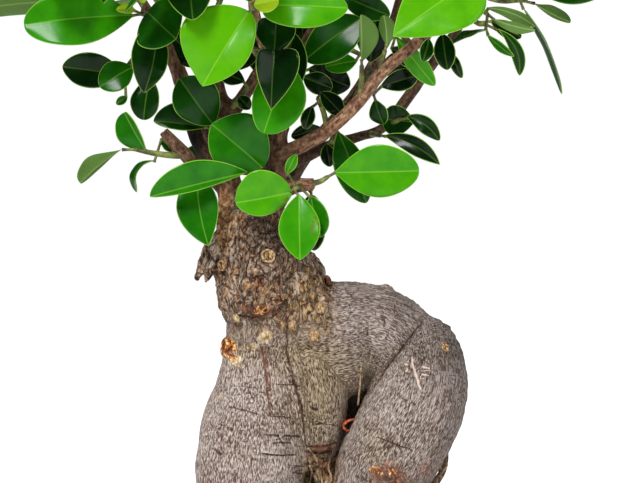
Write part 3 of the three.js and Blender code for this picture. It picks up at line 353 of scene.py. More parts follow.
# Lines of the bark as the view shows them: (x, z) points, half width, depth, which is negative for a ridge,
# and a kind: 0 for a dark crack, 0.5 for a rusty one, 0.75 for a tan ridge, 0.9 for a fibre of resin and 1
# for a pale scar. The short level ones are lenticels.
lines = [
    ([[-10, 167], [-9.4, 158], [-9.3, 150], [-9.6, 146]], 0.45, 0.7, 0.2),
    ([[-9.8, 147.5], [-8, 141], [-6.9, 136.5], [-5.9, 131.5]], 0.7, 1.0, 0.1),
    ([[-6, 132.5], [-5, 129], [-3.6, 125], [-2.6, 118]], 0.62, 0.9, 0.1),
    ([[-3, 120], [-1.9, 112], [-1.1, 104], [0, 93]], 0.4, 0.8, 0.1),
    ([[-19.3, 148.5], [-18.4, 143], [-17.4, 136], [-16.8, 130], [-15.6, 120]], 0.5, 0.3, 0.5),
    ([[-17.6, 145], [-16.3, 138], [-15.4, 128]], 0.4, 0.2, 0.5),
    ([[-14.4, 147], [-13.2, 139]], 0.2, 0.2, 0.4),
    ([[-6, 178.5], [-6, 173], [-5, 169.3]], 0.5, -0.4, 1),
    ([[9, 174], [7.6, 168], [7, 160], [6.2, 154]], 0.25, 0.5, 0.3),
    # This line from the shoulder down to the forearm is painted shade in the crease between them.
    ([[45, 158.5], [40.5, 153], [38, 150], [34, 145], [30, 140], [26, 134], [21, 128]], 0.42, 1.3, 0.1),
    ([[-2, 108.8], [3, 108.2], [7, 109], [11, 110.4]], 0.5, 0.8, 0.5),
    ([[-1.4, 106.4], [4, 105.8], [9, 106.8]], 0.5, 1.0, 0.1),
    ([[-28, 161.4], [-24, 159.8], [-21, 160.6]], 0.5, 0.9, 0.1),
    ([[-15.4, 160], [-12.4, 162.6], [-11.4, 166]], 0.4, 0.8, 0.1),
    ([[-27.6, 166], [-24.4, 170.4], [-22.6, 176]], 0.35, 0.7, 0.1),
    ([[-36, 192], [-33.6, 190.4], [-31.4, 191.6]], 0.4, 0.6, 0.3),
    ([[-37, 200.8], [-34, 198.7], [-31, 199.6]], 0.45, 0.6, 0.5),
    ([[-36.6, 205.4], [-33, 204.2], [-30.4, 205]], 0.35, 0.5, 0.5),
    ([[-9.6, 196], [-8.4, 188], [-9.4, 180]], 0.35, 0.6, 0.05),
    ([[-13, 178], [-12, 171], [-13.4, 165]], 0.3, 0.6, 0.1),
    ([[-21, 167], [-17.6, 170], [-15, 173.5]], 0.5, -0.7, 0.75),
    ([[26, 112.6], [33, 110], [42, 106.6]], 0.38, 0.3, 0.1),
    ([[-22.5, 161.8], [-19, 163.2], [-15.6, 166.4]], 0.32, -0.3, 0.9),
    ([[-20.6, 164.8], [-18.6, 161]], 0.28, -0.2, 0.9),
    ([[-33, 124.6], [-26, 123], [-20.2, 121.4]], 0.43, 0.3, 0.1),
    ([[-13.4, 133.3], [-8, 133], [-3.4, 132.5]], 0.38, 0.3, 0),
    ([[-31.6, 132.8], [-20.4, 132]], 0.24, 0.2, 0),
    ([[-15.8, 120.6], [-7.4, 120.2]], 0.38, 0.3, 0.1),
    ([[-18.3, 113.3], [-12.2, 112.7]], 0.54, 0.3, 0),
    ([[-11, 112.8], [-3.8, 112.6]], 0.51, 0.3, 0),
    ([[-15, 110], [-7.4, 110]], 0.43, 0.3, 0),
    ([[-19.9, 105.7], [-12, 105], [-5.8, 105.2]], 0.46, 0.3, 0),
    ([[-7, 100.8], [-2.6, 100.6]], 0.38, 0.2, 0),
    ([[-7.4, 98.2], [-3, 97.7]], 0.38, 0.2, 0),
    ([[0.2, 117.7], [10.2, 117]], 0.38, 0.3, 0),
    ([[0.2, 123.8], [3.4, 123.4]], 0.68, 0.3, 0),
    ([[-39, 107.8], [-35.4, 105]], 0.54, 0.2, 0.1),
    ([[29.8, 160.2], [29.6, 156.8]], 0.4, 0.3, 0.2),
    ([[23.2, 156.8], [23, 152.8]], 0.4, 0.3, 0.1),
    ([[24, 148.6], [23.6, 142.6]], 0.4, 0.3, 0.3),
    ([[34.2, 166], [34, 162]], 0.35, 0.3, 0.4),
    ([[37.6, 141.8], [42, 139.7]], 0.5, -0.1, 1),
    ([[43.8, 140.5], [48, 139.8]], 0.5, -0.1, 1),
    ([[37.6, 139.2], [42, 137.7]], 0.5, -0.1, 1),
    ([[43.4, 137.7], [47.8, 136.8]], 0.5, -0.1, 1),
    ([[40.6, 144.8], [41.2, 141], [42.6, 136], [44.6, 130.8]], 0.62, -0.1, 1),
]

wood = piece_of("wood", [bar(stations, 48, 40) for stations in fat_limbs]
                + [bar(stations, 40, 16) for stations in limbs[len(fat_limbs):]])
remesh = wood.modifiers.new("skin", "REMESH")
remesh.mode = "VOXEL"
remesh.voxel_size = skin_grain * METRE
finished(wood)
skin = points_of(wood.data)
most_step = 1.5
for blend in (1.6, 1.0):
    skin -= normals_of(wood.data) * np.clip(read_limbs(skin, blend)[3], -most_step, most_step)[:, None]
    set_points(wood.data, skin)


def body_low(points):
    """1 on the front of the trunk between the roots, and 0 behind and at their feet."""
    return smooth(2, -3, points[:, 1]) * smooth(60, 80, points[:, 2])


# The bark's zones. rough is 1 on the grafted neck and the scaly bark between the roots, with a ragged border.
meeting_blend = 4.0
nearest, laid, number, joined = read_limbs(skin, meeting_blend)
meeting = np.clip((nearest - joined) / (meeting_blend * math.log(2)), 0, 1.5)
thick = np.array([np.mean([row[-1] for row in stations]) for stations in limbs])[number]
is_branch = (number >= len(fat_limbs)).astype(float)
border = skin[:, 2] + 7 * noise(skin / 7, 15) + 4 * noise(skin / 2.5, 16)
rough = np.maximum(smooth(147, 163, border), smooth(183, 196, skin[:, 2]) * 0.8) * (1 - is_branch)
rough *= 1 - smooth(6, 13, skin[:, 0] + 3 * noise(skin / 4, 17)) * smooth(186, 178, skin[:, 2])
between_roots = smooth(-5, -1, skin[:, 0]) * smooth(14, 9, skin[:, 0]) * body_low(skin)
rough = np.maximum(rough, smooth(109, 105, border) * between_roots)
outward = normals_of(wood.data)
flat = view_of(skin)
in_front = smooth(0.1, -0.25, outward[:, 1])

# The bark's relief in millimetres: lumps and long fibres along each limb, and plates, ridges and crumbs
# where it is rough. A plate, ridge or crumb is 1 - 2 |noise|, which is sharp at its crest.
body = 1 - 0.9 * is_branch
shift = number[:, None] * np.array([17.3, 31.7, 47.9])
fibre = noise(laid / [2.4, 2.4, 9] + shift)
relief = body * (1.1 * noise(skin / 23, 1) + 0.5 * noise(skin / 10, 2)) + (0.26 - 0.1 * is_branch) * fibre
relief += (body * 0.3 * noise(laid / [5, 5, 2.6] + shift, 7)
           + is_branch * 0.25 * noise(laid / [3, 3, 4] + shift, 9))
plates = 1 - 2 * np.abs(noise(skin / [6.5, 6.5, 10], 3))
ridges = 1 - 2 * np.abs(noise(skin / [3.2, 3.2, 4.6], 14))
crumbs = 1 - 2 * np.abs(noise(skin / 2, 4))
rugged = rough * (1.3 * (plates - 0.65) + 1.1 * (ridges - 0.65) + 0.5 * (crumbs - 0.6)
                  + 0.7 * noise(skin / 9, 5))
relief += rugged
carving = np.clip(rugged, -1.2, 1)

# The lines cut in as far as their depth, and each point keeps its distance from the line drawn over it, that
# line's half width there and its kind.
wavy = flat + 0.5 * np.stack([noise(skin / 2.6, 6), noise(skin / 2.6, 8)], 1)
drawn = np.zeros((len(skin), 3))
line_reach, least_groove = 4, 0.6
for line, width, depth, kind in lines:
    low, high = np.min(line, 0) - line_reach, np.max(line, 0) + line_reach
    some = np.flatnonzero(((flat > low) & (flat < high)).all(1) & (in_front > 0))
    gap, along = line_gap(wavy[some], line)
    fade = in_front[some] * smooth(-0.01, 0.06, along) * smooth(1.01, 0.94, along)
    relief[some] -= depth * fade * np.exp(-(gap / max(width, least_groove)) ** 2)
    fade *= smooth(2.4, 1.4, np.abs(gap))
    shown = fade * width > drawn[some, 1] * (np.abs(gap) > np.abs(drawn[some, 0]) - 0.3)
    drawn[some[shown]] = np.stack([gap, fade * width, np.full(len(some), kind)], 1)[shown]

# The stubs stand out as smooth knobs, with a ring of painted shade at 1.28 of the radius where a groove runs
# round each.
groove_at, groove_wide, stub_reach = 1.28, 0.2, 12
ring = np.zeros(len(skin))
for x, y, z, radius, out, clear in stubs:
    middle = seen([[x, y, z]])[0]
    way = unit(np.array([middle[0] - neck_middle[0], middle[1] - neck_middle[1], 0]))
    offset = skin - middle
    away = np.linalg.norm(offset - (offset @ way)[:, None] * way, axis=1) / radius
    away += 0.12 * noise(skin / 2.5, 11)
    on = smooth(1.7, 0.7, away) * (np.abs(offset @ way) < stub_reach) * (outward @ way > 0.1)
    groove = np.exp(-((away - groove_at) / groove_wide) ** 2)
    relief += on * (out * (1 - 0.5 * clear) - rugged)
    # The ring is painted shade in the groove.
    ring = np.maximum(ring, np.clip(2 * on * clear * groove, 0, 1))

# A bump and a hollow on the crest of the shoulder, and no relief on the thinnest tips.
bump_at, bump_high, hollow_at, hollow_deep = [31, -2, 172.5], 1.7, [36.5, -2, 170], 0.9
relief += bump_high * np.exp(-((skin - bump_at) ** 2).sum(1) / 9) - hollow_deep * np.exp(
    -((skin - hollow_at) ** 2).sum(1) / 6)
relief *= smooth(0.0, 1.2, thick)
skin += outward * relief[:, None]
set_points(wood.data, skin)


def mark(mesh, name, values):
    """Stores a number or a vector for each point of the mesh, for its material to read."""
    kind, slot = ("FLOAT", "value") if values.ndim == 1 else ("FLOAT_VECTOR", "vector")
    layer = mesh.attributes.new(name, kind, "POINT")
    layer.data.foreach_set(slot, np.ascontiguousarray(values, np.float32).ravel())


def spot(places):
    """How near points of the view are to the nearest of (x, z, half wide, half high, strength) patches."""
    near = np.zeros(len(flat))
    for x, z, wide, high, strength in places:
        near = np.maximum(near, strength * np.exp(
            -((flat[:, 0] - x) / wide) ** 2 - ((flat[:, 1] - z) / high) ** 2))
    return near * in_front


# Patches of colour: resin, pale callus, rust, olive algae, painted shade where the bark lies in shadow, tan
# bark and a plum bloom.
patchy = 0.6 + 0.8 * noise(skin / 1.8, 12) + 0.5 * noise(skin / 4, 13)
resin = 1.5 * spot([
    (-19.6, 163.4, 2.6, 1.5, 0.9), (-32, 148.5, 2.8, 2.8, 1), (-31, 144.5, 2.4, 1.4, 0.5),
    (7, 175, 2, 1.8, 0.9), (26, 99, 4, 2.4, 0.38), (33, 98, 4, 2, 0.35), (-22.8, 108.4, 1.2, 0.9, 0.4)])
pale = 1.2 * spot([
    (-17.6, 153, 3.4, 2.6, 0.8), (-23, 148.6, 2.6, 1.2, 1), (-29.5, 143, 2.2, 2.4, 0.9),
    (-35.8, 128.4, 0.9, 0.9, 0.8), (-22.8, 105, 2.2, 1.6, 0.35), (-18, 164, 1.2, 0.7, 0.7),
    (-33.4, 195, 1.6, 2, 0.4), (2, 100, 3, 3, 0.5)])
red = spot([
    (46, 99, 6, 6, 0.5), (5, 108, 7, 2.4, 0.7), (-20, 163, 8, 4, 0.9), (-34, 152, 3, 3, 0.8),
    (-18, 146.6, 5, 1.6, 0.6), (31, 97.5, 8, 5, 0.9), (-28, 164, 4, 2, 0.5), (34, 95, 7, 3, 0.8),
    (4, 101, 5, 3, 0.7), (-35, 212, 3, 8, 0.5)])
olive = spot([
    (4, 130, 9, 20, 1), (-5, 150, 7, 12, 0.8), (-2, 168, 7, 10, 1), (3, 158, 7, 8, 0.7), (4, 99, 6, 6, 0.8),
    (-28, 148, 6, 8, 0.5), (22, 140, 6, 8, 0.5), (-20, 158, 8, 6, 0.4), (26, 108, 8, 10, 0.5)])
# The dark patches are mostly painted shade: under the branches and leaves, round the neck's knobs and in the
# gap between the roots. The one at the cut stub's end is its dark wood.
painted_shade = spot([
    (-21, 197, 9, 8, 0.8), (-10, 194, 6, 9, 0.8), (-58, 234, 2.5, 2.5, 0.8), (-31, 184, 2.4, 4, 0.6),
    (-12, 208, 8, 5, 0.8), (-26.6, 178, 1.6, 5, 0.6), (-38, 176, 2, 6, 0.5), (9, 181, 3, 4, 0.6),
    (-9, 176, 1.6, 7, 0.6), (-22, 160.5, 7, 2, 0.8), (-34.5, 155, 3, 3, 0.7), (5, 105.6, 7, 1.8, 0.9),
    (-13, 181, 3, 4, 0.4),
    (3, 182, 3, 4, 0.4), (-23, 169, 3, 3, 0.4)]) * np.clip(patchy + 0.3, 0, 1)
# Painted shadow in the gap under the shoulder, on the roots behind it.
shadow_under_shoulder = (np.exp(-((flat[:, 0] - 17.5) / 5) ** 2 - ((flat[:, 1] - 122) / 8) ** 2)
                  * (skin[:, 1] > 0) * in_front)
painted_shade = np.maximum(painted_shade, np.clip(1.5 * shadow_under_shoulder, 0, 1))
tan = spot([
    (-34.5, 199, 3.6, 14, 1), (-22, 204, 10, 8, 0.32), (-29, 200, 6, 2, 0.8), (-18, 170.5, 2.4, 3, 0.6),
    (-11.2, 157, 2, 2.6, 0.6), (-33, 170, 2, 5, 0.4), (-1.3, 179, 1, 3, 0.7), (7, 96, 3, 3, 0.5),
    (0, 168, 3, 3, 0.5), (4, 104, 4, 2, 0.4)])
plum = spot([
    (28, 168, 18, 8, 0.6), (45, 136, 8, 8, 0.8), (-12, 175, 7, 8, 0.6), (59, 130, 6, 16, 0.6),
    (-3.3, 173, 2, 2, 1)])

# How light the bark is, as a factor, with painted shade in it: the left root's foot is palest, the shoulder
# under the leaves and the right side of the trunk away from the light are darker as painted shade, the
# branches behind and low in the crown are darker as painted shade, and the cut stub at the left is darker
# wood.
tone = 1 + 0.1 * smooth(118, 98, flat[:, 1]) * smooth(12, 6, flat[:, 0]) - 0.1 * smooth(12, 18, flat[:, 0])
tone -= 0.14 * smooth(8, 16, flat[:, 0]) * smooth(136, 148, flat[:, 1]) + 0.22 * smooth(44, 58, flat[:, 0])
tone -= 0.18 * smooth(30, 40, flat[:, 0]) * smooth(122, 146, flat[:, 1])
tone += olive * (0.26 * rough - 0.16)
# The branches behind and low in the crown are darkened as painted shade. The cut stub at the left is darker
# wood.
tone *= 1 - is_branch * (0.5 * smooth(-9, 3, skin[:, 1]) + 0.25 * smooth(245, 225, skin[:, 2])
                         + 0.3 * smooth(-40, -47, skin[:, 0]) * smooth(245, 238, skin[:, 2]))
mark(wood.data, "grain", laid + shift * 7)
mark(wood.data, "zones", np.stack([rough, is_branch,
                                   np.clip(olive + 0.3 * meeting * (skin[:, 2] < 150), 0, 1)], 1))
mark(wood.data, "spots", np.clip(np.stack([resin, pale, red], 1), 0, 1))
# shades holds the painted shade, the tan bark and the plum bloom.
mark(wood.data, "shades", np.clip(np.stack([painted_shade, tan, plum], 1), 0, 1))
mark(wood.data, "lines", drawn)
# form holds the relief's height, the stubs' painted groove shade and the tone with its painted shade.
mark(wood.data, "form", np.stack([carving, np.clip(ring, 0, 1), tone], 1))
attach(wood, "root")
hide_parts("trunk")


def colour(code):
    """A colour from its sRGB hex code, as linear light."""
    parts = np.array([int(code[i:i + 2], 16) for i in (1, 3, 5)]) / 255
    return (*np.where(parts <= 0.04045, parts / 12.92, ((parts + 0.055) / 1.055) ** 2.4), 1.0)


def new_material(name, roughness, gloss):
    """A material with its shader's roughness and specular level set."""
    made = bpy.data.materials.new(name)
    made.use_nodes = True
    shader = made.node_tree.nodes["Principled BSDF"]
    shader.inputs["Roughness"].default_value = roughness
    shader.inputs["Specular IOR Level"].default_value = gloss
    return made


def result(value):
    """A node's first output that is in use, and anything else as it is."""
    if isinstance(value, bpy.types.Node):
        return next(output for output in value.outputs if output.enabled)
    return colour(value) if isinstance(value, str) else value


def add(material, kind, *values, stops=(), **settings):
    """Adds a node, with its operation or data type after its kind, its properties, and a ramp's (place,
    colour) stops. Its sockets in order take the values: numbers, hex codes, nodes or their outputs, and None
    for as it is."""
    tree = material.node_tree
    kind, _, way = kind.partition(" ")
    node = tree.nodes.new(f"ShaderNode{kind}")
    if way:
        setattr(node, "data_type" if kind == "Mix" else "operation", way)
    for key, value in settings.items():
        setattr(node, key, value)
    for socket, value in zip([socket for socket in node.inputs if socket.enabled], map(result, values)):
        if isinstance(value, bpy.types.NodeSocket):
            tree.links.new(value, socket)
        elif value is not None:
            socket.default_value = value
    while stops and len(node.color_ramp.elements) < len(stops):
        node.color_ramp.elements.new(1.0)
    for k, (place, code) in enumerate(stops):
        node.color_ramp.elements[k].position = place
        node.color_ramp.elements[k].color = result(code)
    return node


def plug(material, **nodes):
    """Leads nodes into the sockets of the material's shader that their keys name, with _ for a space."""
    shader = material.node_tree.nodes["Principled BSDF"]
    for name, node in nodes.items():
        material.node_tree.links.new(result(node), shader.inputs[name.replace("_", " ")])


def grain(material, at, size, detail=3.0, rough=0.6):
    """Fractal noise whose lumps measure size each way in the units of the place, which is divided by it."""
    steps = add(material, "VectorMath MULTIPLY", at, [1 / length for length in size])
    return add(material, "TexNoise", steps, 1.0, detail, rough)


def total(material, *terms, **settings):
    """The sum of (value, factor) terms and a last number: each term is multiplied and added to those after
    it."""
    *terms, rest = terms
    for k, (value, factor) in enumerate(reversed(terms)):
        last = settings if k == len(terms) - 1 else {}
        rest = add(material, "Math MULTIPLY_ADD", value, factor, rest, **last)
    return rest


def parts_of(material, name):
    """A stored vector's three numbers."""
    return add(material, "SeparateXYZ", add(
        material, "Attribute", attribute_name=name).outputs["Vector"]).outputs


# Fig bark: thin and grey over brown, in short pale flecks drawn out along the limb with dark gaps between
# them. It is dull all over, with dark lenticels across the roots, and brown and flaking on the grafted neck.
bark = new_material("fig bark", 0.82, 0.25)
grain_at = add(bark, "Attribute", attribute_name="grain").outputs["Vector"]
object_at = add(bark, "TexCoord").outputs["Object"]
rough_at, branch_at, olive_at = parts_of(bark, "zones")
resin_at, pale_at, red_at = parts_of(bark, "spots")
painted_shade_at, tan_at, plum_at = parts_of(bark, "shades")
gap_at, width_at, kind_at = parts_of(bark, "lines")
height_at, groove_shade_at, tone_and_shade_at = parts_of(bark, "form")

# Root bark. Its sizes are millimetres along and across the limb, or metres where they follow the object.
fine = grain(bark, grain_at, (0.46, 0.46, 1.6), 2, 0.6)
flecks = grain(bark, grain_at, (1.5, 1.5, 3.6), 2, 0.5)
blotch = grain(bark, object_at, (0.012, 0.012, 0.01), 2, 0.5)
grit = grain(bark, object_at, (0.0017, 0.0017, 0.0024), 4, 0.75)
mottle = total(bark, (fine, 0.86), (flecks, 0.14), (blotch, 0.12), -0.06)
root_colour = add(bark, "ValToRGB", mottle, stops=[
    (0.39, "#3a2417"), (0.45, "#6c5443"), (0.5, "#918175"), (0.555, "#b0a39a"), (0.63, "#d3c6be")])
pit_share = add(bark, "Math MULTIPLY", add(bark, "Math SUBTRACT", flecks, 0.56), 7.0, use_clamp=True)
pitted = add(bark, "Mix RGBA", pit_share, root_colour, add(bark, "Mix RGBA", 0.65, root_colour, "#66503d"))
greyed = add(bark, "Mix RGBA", add(bark, "Math MULTIPLY", blotch, 0.22), pitted, "#a59a9c")
olive_colour = add(bark, "ValToRGB", mottle, stops=[(0.37, "#33220f"), (0.5, "#84704f"), (0.62, "#b9a67c")])
with_olive = add(bark, "Mix RGBA", add(bark, "Math MULTIPLY", olive_at, 0.7), greyed, olive_colour)

# Neck bark: plates some 2.4 mm wide and 8.5 mm long that a slow swirl bends, each of its own brown, with
# painted shade in the creases between them and on the lower places of the relief, and pale painted highlights
# along the strands.
swirl = add(bark, "TexNoise", add(bark, "VectorMath MULTIPLY", object_at, [1 / 0.007, 1 / 0.007, 1 / 0.011]),
            1.0,
            2.0, 0.5).outputs["Color"]
swirled = add(bark, "VectorMath MULTIPLY_ADD", swirl, (0.014, 0.014, 0.01), object_at)
strands = grain(bark, swirled, (0.0012, 0.0012, 0.005), 3, 0.6)
plate_at = add(bark, "VectorMath MULTIPLY", swirled, [1 / 0.0024, 1 / 0.0024, 1 / 0.0085])
plate = add(bark, "SeparateColor", add(bark, "TexVoronoi", plate_at, 1.0).outputs["Color"]).outputs
plate_edge = add(bark, "TexVoronoi", plate_at, 1.0, feature="DISTANCE_TO_EDGE")
# Painted shade in the creases between the plates.
crease_shade = total(bark, (plate_edge, 6.5), (grit, 2.4), -1.15, use_clamp=True)
off_strand = add(bark, "Math ABSOLUTE", add(bark, "Math SUBTRACT", strands, 0.56))
# Painted highlights: thin pale lines along the strands.
sliver_highlight = add(bark, "Math MULTIPLY_ADD", off_strand, -22.0, 1.1, use_clamp=True)
# The lower places of the relief come out darker here, as painted shade.
neck_mix = total(bark, (plate["Red"], 0.11), (height_at, 0.06), (grit, 0.5), (strands, 0.45), 0.008)
neck_plates = add(bark, "ValToRGB", neck_mix, stops=[
    (0.36, "#170c06"), (0.43, "#442e1e"), (0.5, "#7d624c"), (0.57, "#a78c76"), (0.66, "#e0cab2")])
neck_browns = add(bark, "Mix RGBA", add(bark, "Math MULTIPLY_ADD", plate["Green"], 1.5, -0.4, use_clamp=True),
                  neck_plates, add(bark, "Mix RGBA", 1.0, neck_plates, "#dcb084", blend_type="MULTIPLY"))
neck_olive = add(bark, "Mix RGBA", add(bark, "Math MULTIPLY", olive_at, 0.8), neck_browns, add(
    bark, "Mix RGBA", 0.45, neck_browns, "#bd9f5a"))
neck_highlights = add(bark, "Mix RGBA", add(bark, "Math MULTIPLY", sliver_highlight, 0.7), neck_olive, "#e0cdb8")
neck_colour = add(bark, "Mix RGBA", add(bark, "Math MULTIPLY_ADD", crease_shade, 0.85, 0.15), "#1f1109",
                  neck_highlights)
with_neck = add(bark, "Mix RGBA", rough_at, with_olive, neck_colour)

# Branch bark, short dark dashes across the roots, and the bark's tone.
branch_mix = total(bark, (strands, 0.2), (grit, 0.4), add(bark, "Math MULTIPLY", flecks, 0.4))
branch_colour = add(bark, "ValToRGB", branch_mix, stops=[
    (0.38, "#4b2d20"), (0.46, "#7b553f"), (0.53, "#a27a5c"), (0.62, "#cda884")])
with_branch = add(bark, "Mix RGBA", branch_at, with_neck, branch_colour)
level = grain(bark, grain_at, (4.2, 4.2, 0.75), 1, 0.5)
dash = add(bark, "Math MULTIPLY", add(bark, "Math SUBTRACT", level, 0.665), 14.0, use_clamp=True)
dash_share = add(bark, "Math MULTIPLY", dash, add(bark, "Math SUBTRACT", 0.8, rough_at), use_clamp=True)
with_dash = add(bark, "Mix RGBA", dash_share, with_branch, "#44342a")
# The tone, with its painted shade, multiplies the colour.
toned = add(bark, "Mix RGBA", 1.0, with_dash, add(bark, "CombineColor", tone_and_shade_at, tone_and_shade_at, tone_and_shade_at),
            blend_type="MULTIPLY")


def ragged_share(share):
    """A patch's share with a torn edge: 3.9 share + 6 grit - 4.35, kept from 0 to 1, and 0 outside the
    patch."""
    torn = add(bark, "Math MULTIPLY_ADD", grit, 6.0, -4.35)
    inside = add(bark, "Math MULTIPLY", share, 12.0, use_clamp=True)
    return add(bark, "Math MULTIPLY", inside, add(
        bark, "Math MULTIPLY_ADD", share, 3.9, torn, use_clamp=True))


# The patches lie over each other: a plum bloom, tan bark, painted shade, rust, pale callus and amber resin.
# Then comes the painted shade of the grooves round the stubs, and last the lines.
coat = add(bark, "Mix RGBA", add(bark, "Math MULTIPLY", plum_at, 0.5), toned, add(
    bark, "Mix RGBA", 0.8, toned, "#857a80", blend_type="MULTIPLY"))
for share, stops in (
        (add(bark, "Math MULTIPLY", ragged_share(tan_at), 0.8),
         [(0.36, "#552f15"), (0.5, "#a87342"), (0.64, "#e4be8a")]),
        # Painted shade: dark brown to nearly black.
        (add(bark, "Math MULTIPLY", painted_shade_at, 0.8), [(0.4, "#120a07"), (0.6, "#453226")]),
        (add(bark, "Math MULTIPLY", ragged_share(red_at), 0.8),
         [(0.38, "#351a0e"), (0.52, "#6f3f29"), (0.64, "#b37b5a")]),
        (ragged_share(pale_at), [(0.4, "#7d613c"), (0.5, "#b09468"), (0.61, "#dcc8ae")]),
        # Amber resin, whose palest flecks are painted highlights: glints on the resin.
        (ragged_share(resin_at), [(0.42, "#2a1005"), (0.5, "#7a3c0e"), (0.57, "#c87a22"),
                                  (0.63, "#ffe2ab")])):
    coat = add(bark, "Mix RGBA", share, coat, add(bark, "ValToRGB", grit, stops=stops))
# Painted shade in the grooves round the stubs.
with_groove_shade = add(bark, "Mix RGBA", groove_shade_at, coat, "#24150c")
ragged = add(bark, "Math MULTIPLY_ADD", grit, 0.9, add(bark, "Math SUBTRACT", add(
    bark, "Math ABSOLUTE", gap_at), 0.45))
line_edge = add(bark, "Math MULTIPLY", add(bark, "Math SUBTRACT", width_at, ragged), 3.2, use_clamp=True)
line_mask = add(bark, "Math MULTIPLY", line_edge, add(bark, "Math MULTIPLY", width_at, 5.0, use_clamp=True))
line_share = add(bark, "Math MULTIPLY", line_mask, add(bark, "Math MULTIPLY_ADD", flecks, 1.7, 0,
                                                       use_clamp=True))
with_line = add(bark, "Mix RGBA", line_share, with_groove_shade, add(bark, "ValToRGB", kind_at, stops=[
    (0, "#2b1d13"), (0.5, "#6b3826"), (0.75, "#b89a74"), (0.9, "#f0b878"), (1, "#d8bfb2")]))
scales = add(bark, "Math ADD", add(bark, "Math MULTIPLY", grit, 1.2), add(
    bark, "Math MULTIPLY_ADD", crease_shade, 1.2, add(bark, "Math MULTIPLY", sliver_highlight, 0.5)))
heights = add(bark, "Math MULTIPLY_ADD", line_mask, -0.5,
              add(bark, "Math MULTIPLY_ADD", scales, rough_at, mottle))
plug(bark, Base_Color=with_line, Normal=add(bark, "Bump", 0.8, 0.0012, None, heights))
wood.data.materials.clear()
wood.data.materials.append(bark)


# Root threads and a torn bark edge
# Dry aerial root threads as thin as string hang over the gap under the shoulder and creep down between the
# roots, and the bark's torn edge curls out of that gap. They grow on the wood, and lie on the foremost bark
# of the view.
threads = [
    [[20.4, 140, 0.4], [20, 133, 0.34], [19.2, 125, 0.4]],
    [[-0.8, 108, 0.3], [1.2, 105.6, 0.34], [2.8, 102.8, 0.34], [4.3, 98, 0.34], [5.2, 92, 0.4]],
    [[8, 104, 0.3], [7.4, 100, 0.45], [8.6, 96, 0.45], [7.8, 90, 0.5]],
    [[-0.2, 101, 0.4], [0.8, 98, 0.5], [-0.2, 94, 0.5], [0.5, 89, 0.5]],
]
rootlets = [
    roots["side_rootlet"],
    [[51.6, -9, 110, 0.5], [53.4, -8.6, 105, 0.8], [51.6, -8, 101, 0.9], [52.4, -7.4, 97, 1],
     [48.6, -9, 92, 0.9],
     [45, -10, 84, 0.8]],
    [[53.8, -6, 104, 0.5], [54.6, -7.4, 101.4, 0.7], [53, -8.6, 98.6, 0.7], [51, -9, 96.4, 0.6]],
]
curl = [[18.4, -9, 119.6, 0.4, 1.6], [16.2, -10.6, 119.2, 0.5, 2], [14.2, -11, 118.2, 0.55, 2.4],
        [13.4, -10.8, 116.7, 0.6, 2.6], [14.2, -11, 115.2, 0.5, 2.2], [16.1, -11, 114.6, 0.35, 1.6]]


def foremost(x, z):
    """The depth of the foremost bark within 1.2 mm of a place of the view."""
    return skin[((flat - [x, z]) ** 2).sum(1) < 1.2 ** 2, 1].min()


parts = []
for k, places in enumerate(threads):
    ends = [foremost(*places[0][:2]), foremost(*places[-1][:2])]
    hung = np.linspace(*ends, len(places))
    depths = hung if k == 0 else [foremost(*place[:2]) for place in places]
    stations = [[x, y - 0.5 * radius, z, radius] for (x, z, radius), y in zip(places, depths)]
    parts.append(bar(stations, 24, 7))
thread_piece = piece_of("root_threads", parts)
rootlet_piece = piece_of("side_rootlets", [bar(stations, 40, 9) for stations in rootlets])
curl_piece = piece_of("bark_curl", [bar(curl, 28, 10)])

# All three are dry and dull, and streaked along their length: the threads are tan, the rootlets brown, and
# the torn edge has the rusty red of the bark's inner side. [piece, finish, roughness, gloss, streaks in
# metres, colours]
dry_finishes = [
    [thread_piece, "dry root thread", 0.8, 0.3, (0.0015, 0.0015, 0.003),
     [(0.35, "#6a4c34"), (0.5, "#9a7b5e"), (0.65, "#c4a98a")]],
    [rootlet_piece, "rootlet bark", 0.85, 0.25, (0.0012, 0.0012, 0.0025),
     [(0.36, "#2c1f15"), (0.5, "#66523f"), (0.64, "#a48e74")]],
    [curl_piece, "torn bark edge", 0.7, 0.3, (0.001, 0.001, 0.001),
     [(0.35, "#6b2a16"), (0.5, "#a94a28"), (0.65, "#cf7a4e")]],
]
for made, finish, roughness, gloss, streaks, stops in dry_finishes:
    dry = new_material(finish, roughness, gloss)
    plug(dry, Base_Color=add(dry, "ValToRGB", grain(
        dry, add(dry, "TexCoord").outputs["Object"], streaks), stops=stops))
    made.data.materials.append(dry)
    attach(made, "root")


# The pruning scars
# Where shoots were cut off the neck, a ring of callus has grown round the dead wood, which is brown, sunken
# and split. Each scar sits on the foremost bark of the view and faces away from the middle of the neck. A
# scar is [x, z, radius, stand-out, paleness, ring share], where the ring share is 1 for an open ring and 0
# for a closed knob.
scars = [[-16.7, 184.8, 2.4, 0.5, 0.6, 1], [-35.4, 181, 1.8, 0.4, 0.25, 1], [-25, 172.6, 1.6, 1, 0.15, 0],
         [-29.2, 160, 1.4, 0.7, 0.9, 0], [7, 175, 1.6, 0.8, 0, 0], [4.3, 164, 1.9, 0.5, 0.4, 0],
         [1.7, 152.7, 1.9, 0.4, 0.35, 0], [-2.9, 172.6, 1.9, 0.6, 0.3, 0.4], [2.7, 174.3, 0.9, 0.4, 0.6, 1],
         [-6.9, 157, 1.6, 0.4, 0.4, 0], [-29.3, 178.6, 1, 0.5, 0.2, 0], [54, 148.6, 1.5, 0, 0.3, 0.3]]
